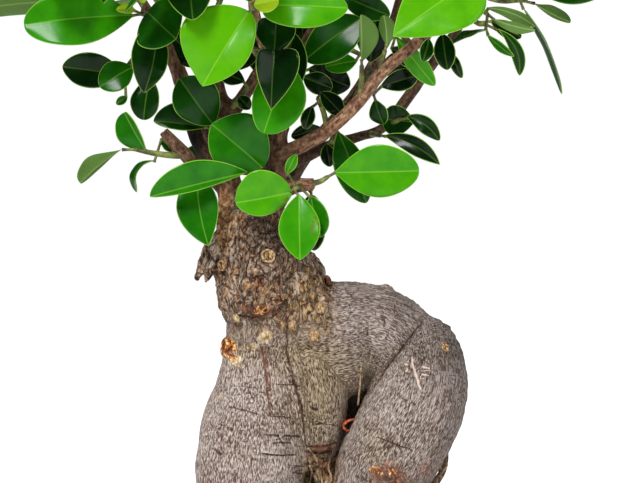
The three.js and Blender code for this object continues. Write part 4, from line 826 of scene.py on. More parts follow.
# The section of an open ring, from its foot in the bark to its middle: [share of the radius, height].
scar_profile = [[0.8, -2.6], [1.12, -0.6], [1.16, -0.1], [1.06, 0.25], [0.92, 0.25], [0.82, 0], [0.76, -0.3],
                [0.4, -0.35], [0.04, -0.3]]
scar_sides = 28
parts, shares = [], []
for x, z, radius, stand, tint, ring_share in scars:
    near = np.flatnonzero(((flat - [x, z]) ** 2).sum(1) < 4)
    near = near[skin[near, 1] < skin[near, 1].min() + 2]
    way = unit(outward[near].mean(0))
    level = unit(np.cross([0, 0, 1], way))
    middle = seen([[x, foremost(x, z), z]])[0] + (stand - 0.2) * way
    turn = np.arange(scar_sides) * 2 * np.pi / scar_sides
    wobble = radius * (1 + 0.06 * np.sin(2 * turn + x) + 0.04 * np.sin(5 * turn))
    across, up = np.cos(turn) * wobble, 1.15 * np.sin(turn) * wobble
    rings = []
    for share, height in scar_profile:
        dome = height if share > 1 else 0.25 + 0.5 * (1 - share ** 2)
        rise = ring_share * height + (1 - ring_share) * dome
        rings.append(middle + (share * across)[:, None] * level + (share * up)[:, None] * np.cross(way, level)
                     + rise * way)
        shares.append(np.stack([np.full(scar_sides, max(share, 1 - ring_share)), share * across,
                                np.full(scar_sides, tint)], 1))
    parts.append(tube(np.array(rings)))
    shares.append([[0.8, 0, tint], [0, 0, tint]])
scar_piece = piece_of("pruning_scars", parts)
mark(scar_piece.data, "scar", np.vstack(shares))

# Callus and dead wood: dry and dull. The dead wood is brown with a black split up its middle, and the callus
# round it is brown on some scars and the colour of straw on others.
dead_wood = new_material("callus and dead wood", 0.8, 0.25)
share_at, across_at, paleness = parts_of(dead_wood, "scar")
fibres = grain(dead_wood, add(dead_wood, "TexCoord").outputs["Object"], (0.0008, 0.0008, 0.0016), 3, 0.7)
dead = add(dead_wood, "ValToRGB", fibres, stops=[(0.4, "#3a2212"), (0.5, "#86663f"), (0.6, "#c0a271")])
split = add(dead_wood, "Math MULTIPLY_ADD", add(dead_wood, "Math ABSOLUTE", across_at), 5.0, -0.4,
            use_clamp=True)
dead_split = add(dead_wood, "Mix RGBA", split, "#1c0e07", dead)
callus = add(dead_wood, "Mix RGBA", paleness, *(add(dead_wood, "ValToRGB", fibres, stops=stops) for stops in (
    [(0.38, "#34190b"), (0.5, "#71482b"), (0.62, "#a5764c")],
    [(0.38, "#76603e"), (0.5, "#b59e74"), (0.62, "#d9c8a0")])))
rim = add(dead_wood, "Math MULTIPLY", add(
    dead_wood, "Math SUBTRACT", share_at, 0.82, use_clamp=True), 12.0, use_clamp=True)
plug(dead_wood, Base_Color=add(dead_wood, "Mix RGBA", rim, dead_split, callus))
scar_piece.data.materials.append(dead_wood)
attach(scar_piece, "root")


# The leafy stems
# Each stem is a green twig on a branch with its leaves: leathery fig leaves with a pale midrib and a pale
# rim, glossy above and matt below, on short stalks. A stem is its twig's stations and its leaves, each
# [midrib's start, its end, width, roll from the viewer, arch, fold, tint, form], where 1.1 and more is the
# tint of a bud's young leaf, the lowest tints, on leaves deep in the crown, are partly painted shade, and
# what the form doesn't name is plain. Each stem is one piece, for the CAD stem of the same name.
stems = {
    "stub_right": ([[0, -11.5, 213.6, 1.3], [4, -12.5, 214.6, 1.1], [7, -12, 216.4, 0.9]], [
        [[9.4, -12, 218.2], [43.7, -15, 218.9], 21.6, 5, 1.5, 8, 0.86,
         {"skew": -0.04, "foot": 0.9, "tip": 0.5}]]),
    "stub_front": ([[-3, -11, 213, 1.3], [-4.5, -14.5, 212.6, 1.1], [-6.5, -16.5, 211.6, 0.9]], [
        [[-4.5, -18, 209.5], [-4, -23.5, 183.2], 16.9, 0, 1, 8, 0.82, {"broad": 1.1, "tip": 0.75}],
        [[-7.4, -17, 210.4], [-29.8, -21, 206.1], 18.8, -8, 2, 8, 0.9, {"skew": 0.25, "foot": 0.5}],
        [[0.3, -15.5, 208.5], [4.5, -17, 192.3], 9.4, 10, 1, 12, 0.6, {"skew": -0.2, "foot": 0.5}],
        [[-9.5, -14.5, 217.5], [-5.5, -16.5, 225.5], 4.5, 0, 1, 10, 0.8, {}]]),
    "stub_under": ([[-1, -10.5, 212.6, 1.2], [0, -10.5, 211.4, 1.1], [0.4, -10.5, 210.4, 0.9]], [
        [[0.6, -10.4, 209.3], [1.8, -10.8, 186.9], 11.5, 15, 0.5, 8, 0.1, {"foot": 0.4}]]),
    "fork_left": ([[-30, -3, 209, 1.4], [-26, -10, 214.5, 1.2], [-22, -12.5, 217.6, 0.9]], [
        [[-18.8, -12, 220], [-39.4, -17, 237.5], 25, 5, 2, 6, 0.62, {"foot": 0.42, "tip": 0.7, "skew": 0.1}],
        [[-25, -18, 218.3], [-64, -22, 208.5], 12.4, -8, 2, 10, 0.66, {"skew": 0.6, "bend": 0.5}]]),
    "neck_left": ([[-33, -1, 213, 1.4], [-39, -8, 218, 1.2], [-45, -10, 220, 0.9]], [
        [[-45.2, -12, 217], [-40.6, -18, 188.9], 17, 5, 1, 6, 0.55,
         {"broad": 0.85, "bend": 1, "skew": 0.08, "tip": 0.8}]]),
    "inner_left": ([[-34, 7, 232, 1.3], [-38, 2, 235, 1.1], [-40, -1, 236.5, 0.9]], [
        [[-41.3, 1, 236.2], [-62.6, -1, 238.8], 11.5, 12, 1.5, 12, 0.25, {"skew": 0.45}],
        [[-38.9, -4, 237.6], [-52, -6, 255.6], 19.4, -5, 2, 8, 0.35, {"foot": 0.55, "skew": 0.08}]]),
    "inner_back": ([[-36, 7, 226, 1.3], [-37, 12, 228, 1.1], [-38, 14, 229, 0.8]], [
        [[-39.5, 14, 228], [-50.3, 12, 221.5], 9.5, 10, 1, 10, 0.5, {}]]),
    "inner_top": ([[-33, 8, 242, 1.2], [-28, 5, 248, 1.1], [-25, 3, 252, 0.9]], [
        [[-26, 1, 254.5], [-37.5, -1, 258.5], 8.5, 20, 1, 10, 0.15, {}],
        [[-28.4, 1, 248.6], [-24, -2, 243.5], 6, 0, 1, 10, 0.15, {}]]),
    "pruned_stub": ([[-50, -7.5, 225, 1.5], [-56, -9, 225.1, 1.3], [-63, -9, 226, 1.1],
                     [-70, -9, 227.4, 0.8]], [
        [[-65.4, -9, 226.8], [-74.2, -7, 242.3], 9.8, -20, 1, 10, 0.55, {"skew": -0.5, "tip": 0.35}],
        [[-74.6, -9, 227.8], [-92, -13, 214], 7.4, 150, 2, 10, 0.5, {"skew": -0.5, "broad": 1.9, "tip": 0.4}],
        [[-61.9, -10, 223.1], [-69.3, -12, 210.3], 8, 65, 4.6, 12, 0.35, {"broad": 1.3}],
        [[-60, -5, 232], [-54, -3, 227], 5, 0, 1, 10, 0.4, {}]]),
    "outer_left": ([[-55, 6, 263, 1.5], [-62, 0, 267, 1.3], [-70, -2, 264, 1.1], [-74, 0, 259, 0.9]], [
        [[-75.5, 2, 257.3], [-99, 6, 260.5], 14.6, 0, 2, 10, 0.2, {"broad": 1, "foot": 0.6}],
        [[-71, -5, 260.3], [-84, -8, 252.3], 13, 10, 1.5, 10, 0.5, {"foot": 0.6}],
        [[-63.5, 1, 257.5], [-66.5, -2, 239.2], 12.4, 15, 1.5, 10, 0.25, {"broad": 1.4, "tip": 0.5}],
        [[-61.5, -9, 272], [-66.4, -15, 250], 18, -20, 3, 24, 0.25,
         {"skew": 0.35, "broad": 0.8, "foot": 0.4, "tip": 0.8}],
        [[-73, 1, 248.5], [-77.5, 0, 245.5], 3.6, 0, 1, 10, 0.5, {}]]),
    "outer_tip": ([[-62, 3, 278, 1.3], [-65, -4, 281, 1.1], [-67.2, -11, 281.6, 0.9]], [
        [[-65, -12, 282.5], [-53.6, -30, 271.6], 23.5, 5, 1.5, 6, 0.4, {"foot": 0.5}],
        [[-70.4, -13, 281], [-114.4, -18, 277.2], 23.8, 12, 3, 10, 0.74, {"foot": 0.8, "tip": 0.48}],
        [[-69.8, -16, 283], [-77.5, -20, 283.3], 4.6, 20, 1, 14, 1.3, {}],
        [[-67, -15, 285.5], [-66, -19, 296], 5.5, 0, 1, 14, 1.3, {}]]),
    "outer_far": ([[-70, 4, 291, 1.4], [-82, 6, 290, 1.1], [-92, 6, 288, 0.8]], [
        [[-98, 5, 286.5], [-134.5, 2, 283], 15, 140, 2, 12, 0.5, {}],
        [[-90, 9, 294], [-118, 16, 308], 17, 10, 3, 10, 0.5, {}]]),
    "front_top": ([[-22.3, -21.5, 283, 1.4], [-23, -27, 284, 1.1], [-22.6, -31, 284.5, 0.9]], [
        [[-24.5, -33, 282.7], [-43, -38, 252.7], 30, 5, 3, 8, 1,
         {"skew": 0.3, "broad": 1, "foot": 0.55, "tip": 0.85}],
        [[-22.5, -38, 285], [-12.5, -41, 287.3], 8.5, 0, 1, 14, 1.3, {"tip": 0.5}],
        [[-19, -33, 285], [15.2, -38, 283.9], 18.8, -5, 3, 10, 0.88, {"broad": 0.95, "foot": 0.38}]]),
    "front_middle": ([[-18.5, -12, 269, 1.2], [-16, -17, 276, 1.1], [-14, -20, 279.5, 0.8]], [
        [[-13.5, -20.5, 279], [-14.4, -25, 264.6], 17, 0, 2, 16, 0.25,
         {"broad": 0.7, "foot": 0.5, "tip": 0.95}]]),
    "front_low": ([[-16.5, -9, 262, 1.2], [-21, -18, 265, 1.1], [-23, -27, 268, 0.9]], [
        [[-14.6, -31, 267], [-15.6, -34, 243], 19.5, 0, 1.5, 26, 0.12,
         {"skew": -0.22, "broad": 0.5, "foot": 0.42, "tip": 0.95}]]),
    "front_inner": ([[-14, -5, 254, 1.2], [-11, -11, 262, 1.1], [-10, -16, 267, 0.9]], [
        [[-6.5, -14, 274], [-11.9, -14, 244.6], 16, 10, 2, 12, 0.15,
         {"skew": -0.1, "broad": 0.9, "tip": 0.8}],
        [[-8.6, -20, 263], [-18.5, -27, 233.9], 21.5, 0, 2.5, 8, 0.72, {"skew": -0.15, "tip": 0.5}]]),
    "centre_right": ([[-7, 7, 256, 1.3], [-5, 2, 260, 1.1], [-3, -2, 262, 0.9]], [
        [[-1.8, -4, 263.3], [20.3, -8, 279.8], 17.6, -10, 2, 10, 0.4, {"foot": 0.45, "skew": 0.08}],
        [[-3, 0, 256.5], [9, -1, 252], 9.5, 10, 1, 10, 0.15, {}]]),
    "centre_back": ([[-1, 11.5, 271, 1.3], [8, 10, 272, 1.2], [15, 8, 268, 1.1], [20, 6, 265.5, 0.9]], [
        [[19, 5, 262.8], [6, 3, 260.3], 9, 15, 1, 10, 0.7, {}]]),
    "centre_top": ([[8, 14, 290, 1.2], [9, 10, 291, 1.1], [10, 6, 291, 0.9]], [
        [[12, 4, 289.5], [32, 2, 281], 11, 10, 2, 10, 0.4, {}],
        [[8, -1, 294], [-18, -8, 304], 17, 0, 2, 10, 0.8, {}]]),
    "arm_upright": ([[20, -15, 247, 1.3], [20.6, -18, 255, 1.1], [20.7, -19, 261, 0.9]], [
        [[20.6, -20, 262.5], [20.3, -25, 281.3], 8, 165, 1, 8, 0.4, {"skew": -0.72}]]),
    "arm_fork": ([[27, -17, 256, 1.3], [28.5, -18, 262, 1.1], [30, -19, 267, 0.9]], [
        [[30.8, -20, 269], [29.6, -24, 281], 8, 150, 1, 12, 0.4, {}]]),
    "arm_inner": ([[7, -11, 235, 1.2], [5.5, -8, 242, 1.1], [3, -6, 248, 0.8]], [
        [[4, -5, 250.5], [13, -7, 241], 8.5, -15, 1, 10, 0.1, {}],
        [[1, -6, 245], [-2, -7, 235.5], 6, 10, 1, 10, 0.1, {}]]),
    "arm_under": ([[23, -16, 250, 1.2], [24.5, -11, 250.5, 1], [25.4, -8, 249.5, 0.8]], [
        [[26, -6, 247.5], [29.5, -5, 237.5], 8, 20, 1, 12, 0.3, {}],
        [[28, -5, 252.5], [43, -2, 257], 9, 0, 2, 10, 0.05, {}]]),
    "arm_back": ([[41, -18, 268.6, 1.4], [38, -14, 272, 1.2], [34, -12, 275, 0.9]], [
        [[34.5, -10, 272.5], [50, -8, 253], 8.4, 10, 2, 10, 0.85, {}],
        [[32, -8, 268], [45, -4, 260.5], 9, -10, 2, 10, 0.1, {}]]),
    "arm_front": ([[47, -18, 274, 1.3], [50, -23, 276, 1.1], [52, -25, 275.5, 0.9]], [
        [[53, -27, 273.3], [55, -31, 259.2], 9, 5, 1.5, 14, 0.15, {"foot": 0.5}],
        [[47.5, -24, 272], [45, -26, 262.5], 6, -15, 1, 14, 0.3, {}],
        [[57, -22, 266], [60.9, -24, 256], 4.6, 20, 1.5, 10, 0.1, {}]]),
    "arm_right": ([[58, -16, 286, 1.4], [66, -21, 285, 1.2], [71, -20, 281.5, 0.9]], [
        [[71, -21, 275.3], [56, -22, 269.2], 9, 72, 1, 8, 0.4, {}],
        [[73, -20, 279.5], [90, -26, 275], 5.6, 145, 1, 8, 0.4, {}],
        [[70.5, -16, 284], [90, -18, 276.5], 5.6, 150, 1, 8, 0.45, {"bend": 2.5}]]),
    "arm_tip": ([[62, -15, 291, 1.4], [66, -24, 294, 1.2], [69, -31, 297, 0.9]], [
        [[66, -34, 295.5], [33.3, -42, 272.6], 30.5, 8, 3, 8, 0.97,
         {"broad": 0.62, "foot": 0.6, "tip": 0.85}],
        [[72, -33, 299], [104, -40, 304], 16, 0, 2, 10, 0.8, {}]]),
    "low_fork": ([[29, 12, 236, 1.3], [33, 6, 238, 1.1], [36, 3, 239.5, 0.9]], [
        [[29.8, 7, 239.5], [42, 4, 238.5], 12.5, 5, 1, 10, 0.3, {"broad": 0.75, "foot": 0.4, "tip": 0.9}],
        [[38.5, 0, 240.6], [51.8, -4, 231], 7, 10, 1.5, 10, 0.2, {"bend": -2}]]),
    "low_middle": ([[24, 12, 234, 1.3], [26, 6, 233.4, 1.1], [28, 2, 233, 0.9]], [
        [[29.5, -1, 233], [52, -8, 221.3], 7.6, 0, 2, 10, 0.1, {"bend": -2, "tip": 0.8}]]),
    "low_inner": ([[8, 10, 229, 1.3], [9.5, 6, 233, 1.1], [10.5, 4, 237, 0.8]], [
        [[11.2, 2, 234.6], [22.5, -2, 206], 14, -8, 2, 10, 0.45, {"skew": 0.15}],
        [[6.5, 4.5, 230], [8, 4, 220.5], 6.5, 0, 1, 10, 0.05, {}],
        [[5, 6, 236], [-7.5, 4, 232.5], 7, 0, 1, 10, 0.1, {}]]),
    "right_fork": ([[67, 13, 290, 1.5], [76, 8, 287, 1.2], [84, 4, 287, 0.9]], [
        [[85, 6, 284.3], [100.8, 12, 249.5], 6.5, 70, -3, 12, 0.3, {"bend": 0.8}],
        [[88.5, 1, 292.5], [118.5, -2, 291.3], 13, 5, 2, 10, 0.35, {}],
        [[89, 9, 286.2], [104.2, 13, 278.2], 6, 150, 1, 8, 0.4, {"skew": 0.6, "broad": 1.7, "tip": 0.45}],
        [[90, 3, 297], [134.5, 4, 302], 17, 0, 4, 10, 0.5, {}]]),
    "right_low": ([[63, 13, 282, 1.4], [67, 8, 278, 1.1], [70, 5, 277.5, 0.9]], [
        [[70.6, 2, 273.6], [81.6, -2, 264.7], 4, 30, 1, 10, 0.6, {}],
        [[74.5, 7, 276], [83.8, 9, 257], 5.6, 10, 0, 8, 0.3, {"bend": -3.4, "broad": 1.4}],
        [[72, 12, 279], [84.5, 13, 272.2], 7, 0, 1, 10, 0.05, {}]]),
    # The three stems at the back hold leaves tinted nearly black, as painted shade deep in the crown.
    "back_inner_left": ([[-44.5, 31, 243, 1.4], [-40, 27, 250, 1.2], [-38, 25, 256, 0.9]], [
        [[-35, 23, 259], [-21, 22, 273], 13, 10, 2, 10, 0.1, {}],
        [[-41, 23, 260], [-58, 22, 275], 14, 0, 2, 10, 0.1, {}]]),
    "back_inner_middle": ([[-14, 43.5, 250, 1.4], [-8, 36, 254, 1.2], [-4, 32, 258, 0.9]], [
        [[-0.5, 30, 260], [16, 27, 252.5], 14, 10, 2, 10, 0.05, {}],
        [[-4, 28, 262], [-2, 25, 286], 16, 0, 2, 10, 0.1, {}],
        [[-10, 30, 258], [-25, 28, 268], 13, 0, 2, 10, 0.1, {}]]),
    "back_inner_right": ([[17, 36, 246, 1.4], [21, 30, 253, 1.2], [24, 27, 258, 0.9]], [
        [[27, 25, 259.5], [46, 23, 263], 12, 0, 2, 10, 0.1, {}],
        [[24, 24, 262], [27, 21, 284], 15, 0, 2, 10, 0.1, {}]]),
}
# Shoots that no leaf of the view belongs to: the top, the back and the sides of the crown. Each is [foot,
# tip, leaves, seed], a twig with its leaves turned by the golden angle. A leaf takes the first of its draws
# that is clear of all before it. Below view_top it stays within the shade of the view's leaves, and inside
# the half sizes.
shoots = {
    "crown_left": ([-46, -2, 303], [-62, -22, 314], 5, 11),
    "crown_inner": ([-41, 6, 270], [-30, 26, 300], 5, 19),
    "crown_middle": ([-8, 11, 300], [-2, -14, 316], 5, 23),
    "crown_front": ([-22, -22, 302], [-34, -40, 312], 6, 31),
    "crown_right": ([13, 13, 304], [36, -6, 314], 5, 47),
    "crown_far_left": ([-74, 6, 298], [-96, -4, 308], 5, 53),
    "crown_far_right": ([70, -11, 301], [84, -18, 314], 5, 67),
    "right_end": ([71, 13, 298], [96, 26, 306], 4, 61),
    "back_top": ([-10, 56, 290], [-14, 50, 314], 5, 83),
    "back_left": ([-58, 40, 282], [-74, 44, 302], 5, 101),
    "back_right": ([35, 45, 284], [58, 48, 304], 5, 127),
}
view_top = 288
shade = 6
half_deep = 71
half_wide = 133
golden_turn = 137.5
petiole_long = 7
draws = 5
blade_gap = 4.6
wood_gap = 2.6
petiole_radius = 0.75
blade_thick = 0.45
plain_form = {"broad": 1.15, "foot": 0.75, "tip": 0.6, "bend": 0, "skew": 0}


def draw(n):
    """A number from 0 to 1 that looks random: what 43758.5453 sin(12.9898 n) has behind its point."""
    wave = math.sin(n * 12.9898) * 43758.5453
    return wave - math.floor(wave)


def turned(vector, axis, angle):
    """The vector turned about a unit axis: v cos + (axis x v) sin + axis (axis . v)(1 - cos)."""
    return (vector * math.cos(angle) + np.cross(axis, vector) * math.sin(angle)
            + axis * (axis @ vector) * (1 - math.cos(angle)))


def leaf_of(start, end, wide, roll, arch, fold, tint, form):
    """A leaf's real place from its place in the view. Its face looks at the viewer, turned about the
    midrib."""
    first, last = seen([start, end])
    along = unit(last - first)
    to_eye = np.array([0.0, -1.0, 0.0])
    face = turned(unit(to_eye - along * (to_eye @ along)), along, math.radians(roll))
    scale = (start[1] - eye[1]) / -eye[1]
    return {**plain_form, **form, "start": first, "end": last, "face": face, "wide": wide * scale,
            "arch": arch,
            "fold": fold, "tint": tint}


def blade(leaf, s, c):
    """Points of the blade's middle surface, and its frame there. The midrib is the chord from start to end,
    lifted by 4 arch s (1 - s) towards the face and 4 bend s (1 - s) sideways. The half width is wide / 2
    times sin(pi s^broad) to the power foot + (tip - foot) s, 1 + skew or 1 - skew times that on either side,
    and both halves rise by the fold."""
    s, c = (np.asarray(v, float)[..., None] for v in (s, c))
    chord = leaf["end"] - leaf["start"]
    bow = leaf["face"] * 4 * leaf["arch"] + unit(np.cross(chord, leaf["face"])) * 4 * leaf["bend"]
    rib = leaf["start"] + chord * s + bow * s * (1 - s)
    along = unit(chord + bow * (1 - 2 * s))
    side = unit(np.cross(along, leaf["face"]))
    up = np.cross(side, along)
    power = leaf["foot"] + (leaf["tip"] - leaf["foot"]) * s
    half = leaf["wide"] / 2 * np.maximum(np.sin(np.pi * s ** leaf["broad"]), 0) ** power
    half = half * (1 + leaf["skew"] * np.sign(c))
    rise = math.radians(leaf["fold"])
    out = c * half
    return rib + side * out * math.cos(rise) + up * np.abs(out) * math.sin(rise), side, up, half


def blade_guards(leaf):
    """Points on a blade that later leaves stay blade_gap away from."""
    s, c = np.meshgrid(0.1 + 0.17 * np.arange(6), [-0.9, -0.45, 0, 0.45, 0.9], indexing="ij")
    return blade(leaf, s.ravel(), c.ravel())[0]


def limb_guards(stations):
    """Points along a limb with the distance that leaves stay from each: its half width and wood_gap."""
    rows = along_path(stations, np.arange(25) / 24)
    return rows[:, :3], rows[:, 3] + wood_gap


def shoot_twig(first, last, seed):
    """A shoot's stations: its ends, and its middle moved by up to 3 mm each way."""
    middle = [(a + b) / 2 + (draw(seed + i) - 0.5) * 6 for i, (a, b) in enumerate(zip(first, last))]
    return [first + [1.5], middle + [1.2], last + [0.8]]


def shoot_leaf(twig, count, seed, index, attempt):
    """A leaf on a shoot: it opens from the twig by 45 to 75 degrees, a golden angle round it from the last
    one."""
    n = seed + 7.3 * index + 1.7 * attempt
    t = 0.3 + 0.68 * index / (count - 1)
    at, ahead, behind = along_path(twig, [t, min(t + 1e-4, 1), t - 1e-4])[:, :3]
    axis = unit(ahead - behind)
    angle = math.radians(golden_turn * index + 360 * draw(seed) + 40 * attempt)
    outward = turned(unit(np.cross([0, 0, 1], axis)), axis, angle)
    opened = math.radians(45 + 30 * draw(n + 0.31))
    along = axis * math.cos(opened) + outward * math.sin(opened)
    along[2] -= 0.12
    along = unit(along)
    upper = axis * 0.5 + np.array([0, 0, 0.9])
    long = 31 + 12 * draw(n + 0.57)
    start = at + along * petiole_long
    return {"start": start, "end": start + along * long, "face": unit(upper - along * (upper @ along)),
            "wide": long * (0.46 + 0.1 * draw(n + 0.83)), "arch": 2 + 2.5 * draw(n + 0.91),
            "fold": 7 + 9 * draw(n + 0.97), "tint": 0.2 + 0.8 * draw(n + 0.11), **plain_form}


def is_clear(points, guards, gaps):
    """Whether every point is at least the gap away from every guard."""
    square = (points ** 2).sum(1)[:, None] - 2 * points @ guards.T + (guards ** 2).sum(1)
    return bool((square >= gaps ** 2).all())


def is_placed(points, cover):
    """Whether points keep within the crown and, below the top of the view, behind the leaves of the view."""
    if (np.abs(points[:, 1]) >= half_deep).any() or (np.abs(points[:, 0]) >= half_wide).any():
        return False
    at = view_of(points)
    near = np.hypot(*(at[:, None] - cover).T).T.min(1)
    return bool(((at[:, 1] > view_top) | (near < shade)).all())


grown = {name: (twig, [leaf_of(*row) for row in rows]) for name, (twig, rows) in stems.items()}
view_points = np.vstack([blade_guards(leaf) for _, leaves in grown.values() for leaf in leaves])
cover = view_of(view_points)
twigs = {name: shoot_twig(first, last, seed) for name, (first, last, _, seed) in shoots.items()}
limb_points = [limb_guards(path) for path in [*branches.values()] + [twig for twig, _ in grown.values()]
               + [*twigs.values()]]
guards = np.vstack([view_points] + [points for points, _ in limb_points])
gaps = np.concatenate([np.full(len(view_points), blade_gap)] + [gap for _, gap in limb_points])
for name, (_, _, count, seed) in shoots.items():
    leaves = []
    for index in range(count):
        for attempt in range(draws):
            one = shoot_leaf(twigs[name], count, seed, index, attempt)
            points = blade_guards(one)
            if is_placed(points, cover) and is_clear(points, guards, gaps):
                guards = np.vstack([guards, points])
                gaps = np.concatenate([gaps, np.full(len(points), blade_gap)])
                leaves.append(one)
                break
    grown[name] = (twigs[name], leaves)


def blade_skin(leaf, seed):
    """A closed blade: an upper and a lower sheet over a grid in s along the midrib and c across it, half a
    thickness apart that runs out at the margin as 1 - c^6. The sheets wave by half a millimetre, the midrib
    is sunk above and raised below, and each point keeps its distances from the midrib, the foot and the
    margin."""
    rows, columns = 26, 19
    t = np.linspace(-1, 1, columns)
    s, c = np.meshgrid((1 - np.cos(np.pi * np.linspace(0, 1, rows))) / 2, np.sign(t) * np.abs(t) ** 1.15,
                       indexing="ij")
    middle, side, up, half = blade(leaf, s, c)
    half = half[..., 0]
    wave = 0.45 * np.sin(2 * np.pi * (1.3 * s + draw(seed))) * c
    wave = wave + 0.25 * np.sin(2 * np.pi * (2.1 * s + draw(seed + 1)))
    middle = middle + up * (wave * c ** 2 * np.minimum(1, half / 5))[..., None]
    thick = blade_thick * (0.3 + 0.7 * (1 - c ** 6)) * np.minimum(1, half / 0.6) / 2
    rib = np.exp(-(c * half / 0.7) ** 2) * np.minimum(1, half / 3) * (1 - 0.6 * s)
    upper = middle + up * (thick - 0.16 * rib)[..., None]
    lower = middle - up * (thick + 0.3 * rib)[..., None]
    points = np.vstack([upper.reshape(-1, 3), lower.reshape(-1, 3)])
    n = rows * columns
    i = np.arange(rows - 1)[:, None] * columns + np.arange(columns - 1)
    top = np.stack([i, i + columns, i + columns + 1, i + 1], -1).reshape(-1, 4)
    base = np.stack([i + 1, i + columns + 1, i + columns, i], -1).reshape(-1, 4) + n
    k = np.arange(rows - 1) * columns
    left = np.stack([k + n, k + columns + n, k + columns, k], -1)
    right = np.stack([k, k + columns, k + columns + n, k + n], -1) + columns - 1
    j = np.arange(columns - 1)
    foot = np.stack([j, j + 1, j + 1 + n, j + n], -1)
    tip = np.stack([j + n, j + n + 1, j + 1, j], -1) + (rows - 1) * columns
    long = np.linalg.norm(leaf["end"] - leaf["start"])
    marks = np.stack([c * half, s * long, (1 - np.abs(c)) * half], -1).reshape(-1, 3)
    return points, np.vstack([top, base, left, right, foot, tip]).tolist(), np.vstack([marks, marks])


def stalk(first, last):
    """A leaf's round stalk, from the twig to the blade's foot."""
    steps = np.linspace(0, 1, 7)[:, None]
    along = unit(last - first)
    across = unit(np.cross(along, [0.3, 0.9, 0.1]))
    turn = np.linspace(0, 2 * np.pi, 8, endpoint=False)[None, :, None]
    radius = petiole_radius * (1 - 0.25 * np.sin(np.pi * steps))[..., None]
    return tube((first + (last - first) * steps)[:, None]
                + radius * (across * np.cos(turn) + np.cross(along, across) * np.sin(turn)))


# Fig leaf: a thick, waxed skin, glossy above with a pale rim and a thin pale midrib, and matt and paler
# below. The youngest leaves are lime, and older ones go from grass green to a green that is nearly black; the
# darkest tints are partly painted shade deep in the crown.
leaf_skin = new_material("fig leaf", 0.25, 0.16)
rib_at, foot_at, rim_at = parts_of(leaf_skin, "blade")
tint_and_shade_at, under_at, _ = parts_of(leaf_skin, "leaf")
leaf_at = add(leaf_skin, "TexCoord").outputs["Object"]
from_rib = add(leaf_skin, "Math ABSOLUTE", rib_at)
cloudy = grain(leaf_skin, leaf_at, (0.007, 0.007, 0.007), 2, 0.5)
toned_tint = add(leaf_skin, "Math MULTIPLY_ADD", add(leaf_skin, "Math SUBTRACT", cloudy, 0.5), 0.3, tint_and_shade_at)
green = add(leaf_skin, "ValToRGB", toned_tint, stops=[
    (0, "#020f02"), (0.2, "#052502"), (0.4, "#0b4001"), (0.6, "#186201"), (0.8, "#2e8201"), (1, "#4f9c02")])
young = add(leaf_skin, "Mix RGBA", add(leaf_skin, "Math GREATER_THAN", tint_and_shade_at, 1.1), green, "#a5c81c")

# Side veins 3 mm apart, each a faint line that leaves the midrib forwards.
vein = add(leaf_skin, "Math SINE", add(leaf_skin, "Math MULTIPLY", add(
    leaf_skin, "Math MULTIPLY_ADD", from_rib, -0.55, foot_at), 2.1))
lit = add(leaf_skin, "Mix RGBA", 0.5, young, "#9ccc4a")
vein_share = add(leaf_skin, "Math MULTIPLY", add(leaf_skin, "Math SUBTRACT", vein, 0.8, use_clamp=True), add(
    leaf_skin, "Math MULTIPLY_ADD", tint_and_shade_at, 0.25, -0.08, use_clamp=True))
coat = add(leaf_skin, "Mix RGBA", vein_share, young, lit)

# Scabs on the two leaves at the front, each within a few millimetres of its place.
scabs = grain(leaf_skin, leaf_at, (0.0016, 0.0016, 0.0026), 3, 0.7)
for place, size in (([2.6, -21.8, 199], 3.6), ([2.2, -22, 194.6], 3), ([-9.4, -18.8, 206.4], 3.6)):
    away = add(leaf_skin, "VectorMath DISTANCE", leaf_at, tuple(seen([place])[0] * METRE))
    scab_share = add(
        leaf_skin, "Math MULTIPLY", add(leaf_skin, "Math MULTIPLY_ADD", away, -2500 / size, 2.5,
                                        use_clamp=True),
        add(leaf_skin, "Math MULTIPLY_ADD", scabs, 12.0, -5.9, use_clamp=True))
    coat = add(leaf_skin, "Mix RGBA", add(leaf_skin, "Math MULTIPLY", scab_share, 0.7), coat, "#5f5410")

# The midrib is a line 0.42 mm to either side, and the rim one 0.4 mm wide.
rib_line = add(leaf_skin, "Math MULTIPLY", add(
    leaf_skin, "Math SUBTRACT", 0.42, from_rib, use_clamp=True), 3.0, use_clamp=True)
rib_share = add(leaf_skin, "Math MULTIPLY_ADD", tint_and_shade_at, 0.5, 0.15, use_clamp=True)
with_rib = add(leaf_skin, "Mix RGBA", add(leaf_skin, "Math MULTIPLY", rib_line, rib_share), coat, lit)
rim_line = add(leaf_skin, "Math MULTIPLY", add(
    leaf_skin, "Math SUBTRACT", 0.4, rim_at, use_clamp=True), 4.0, use_clamp=True)
with_rim = add(leaf_skin, "Mix RGBA", add(leaf_skin, "Math MULTIPLY", rim_line, 0.75), with_rib, "#98c846")
under_green = add(leaf_skin, "Mix RGBA", add(leaf_skin, "Math MULTIPLY", rib_line, 0.6), "#50702f", "#8faa60")
plug(leaf_skin, Base_Color=add(leaf_skin, "Mix RGBA", under_at, with_rim, under_green),
     Roughness=add(leaf_skin, "Math MULTIPLY_ADD", under_at, 0.38, 0.22),
     Normal=add(leaf_skin, "Bump", 0.25, 0.0004, None, cloudy))

# Green twigs and leaf stalks: smooth green skin that turns brown in patches.
green_twig = new_material("green fig twig", 0.5, 0.35)
twig_tone = grain(green_twig, add(green_twig, "TexCoord").outputs["Object"], (0.004, 0.004, 0.004), 3, 0.6)
plug(green_twig, Base_Color=add(green_twig, "ValToRGB", twig_tone, stops=[
    (0.36, "#32291a"), (0.5, "#585a2a"), (0.64, "#7f8a42")]))

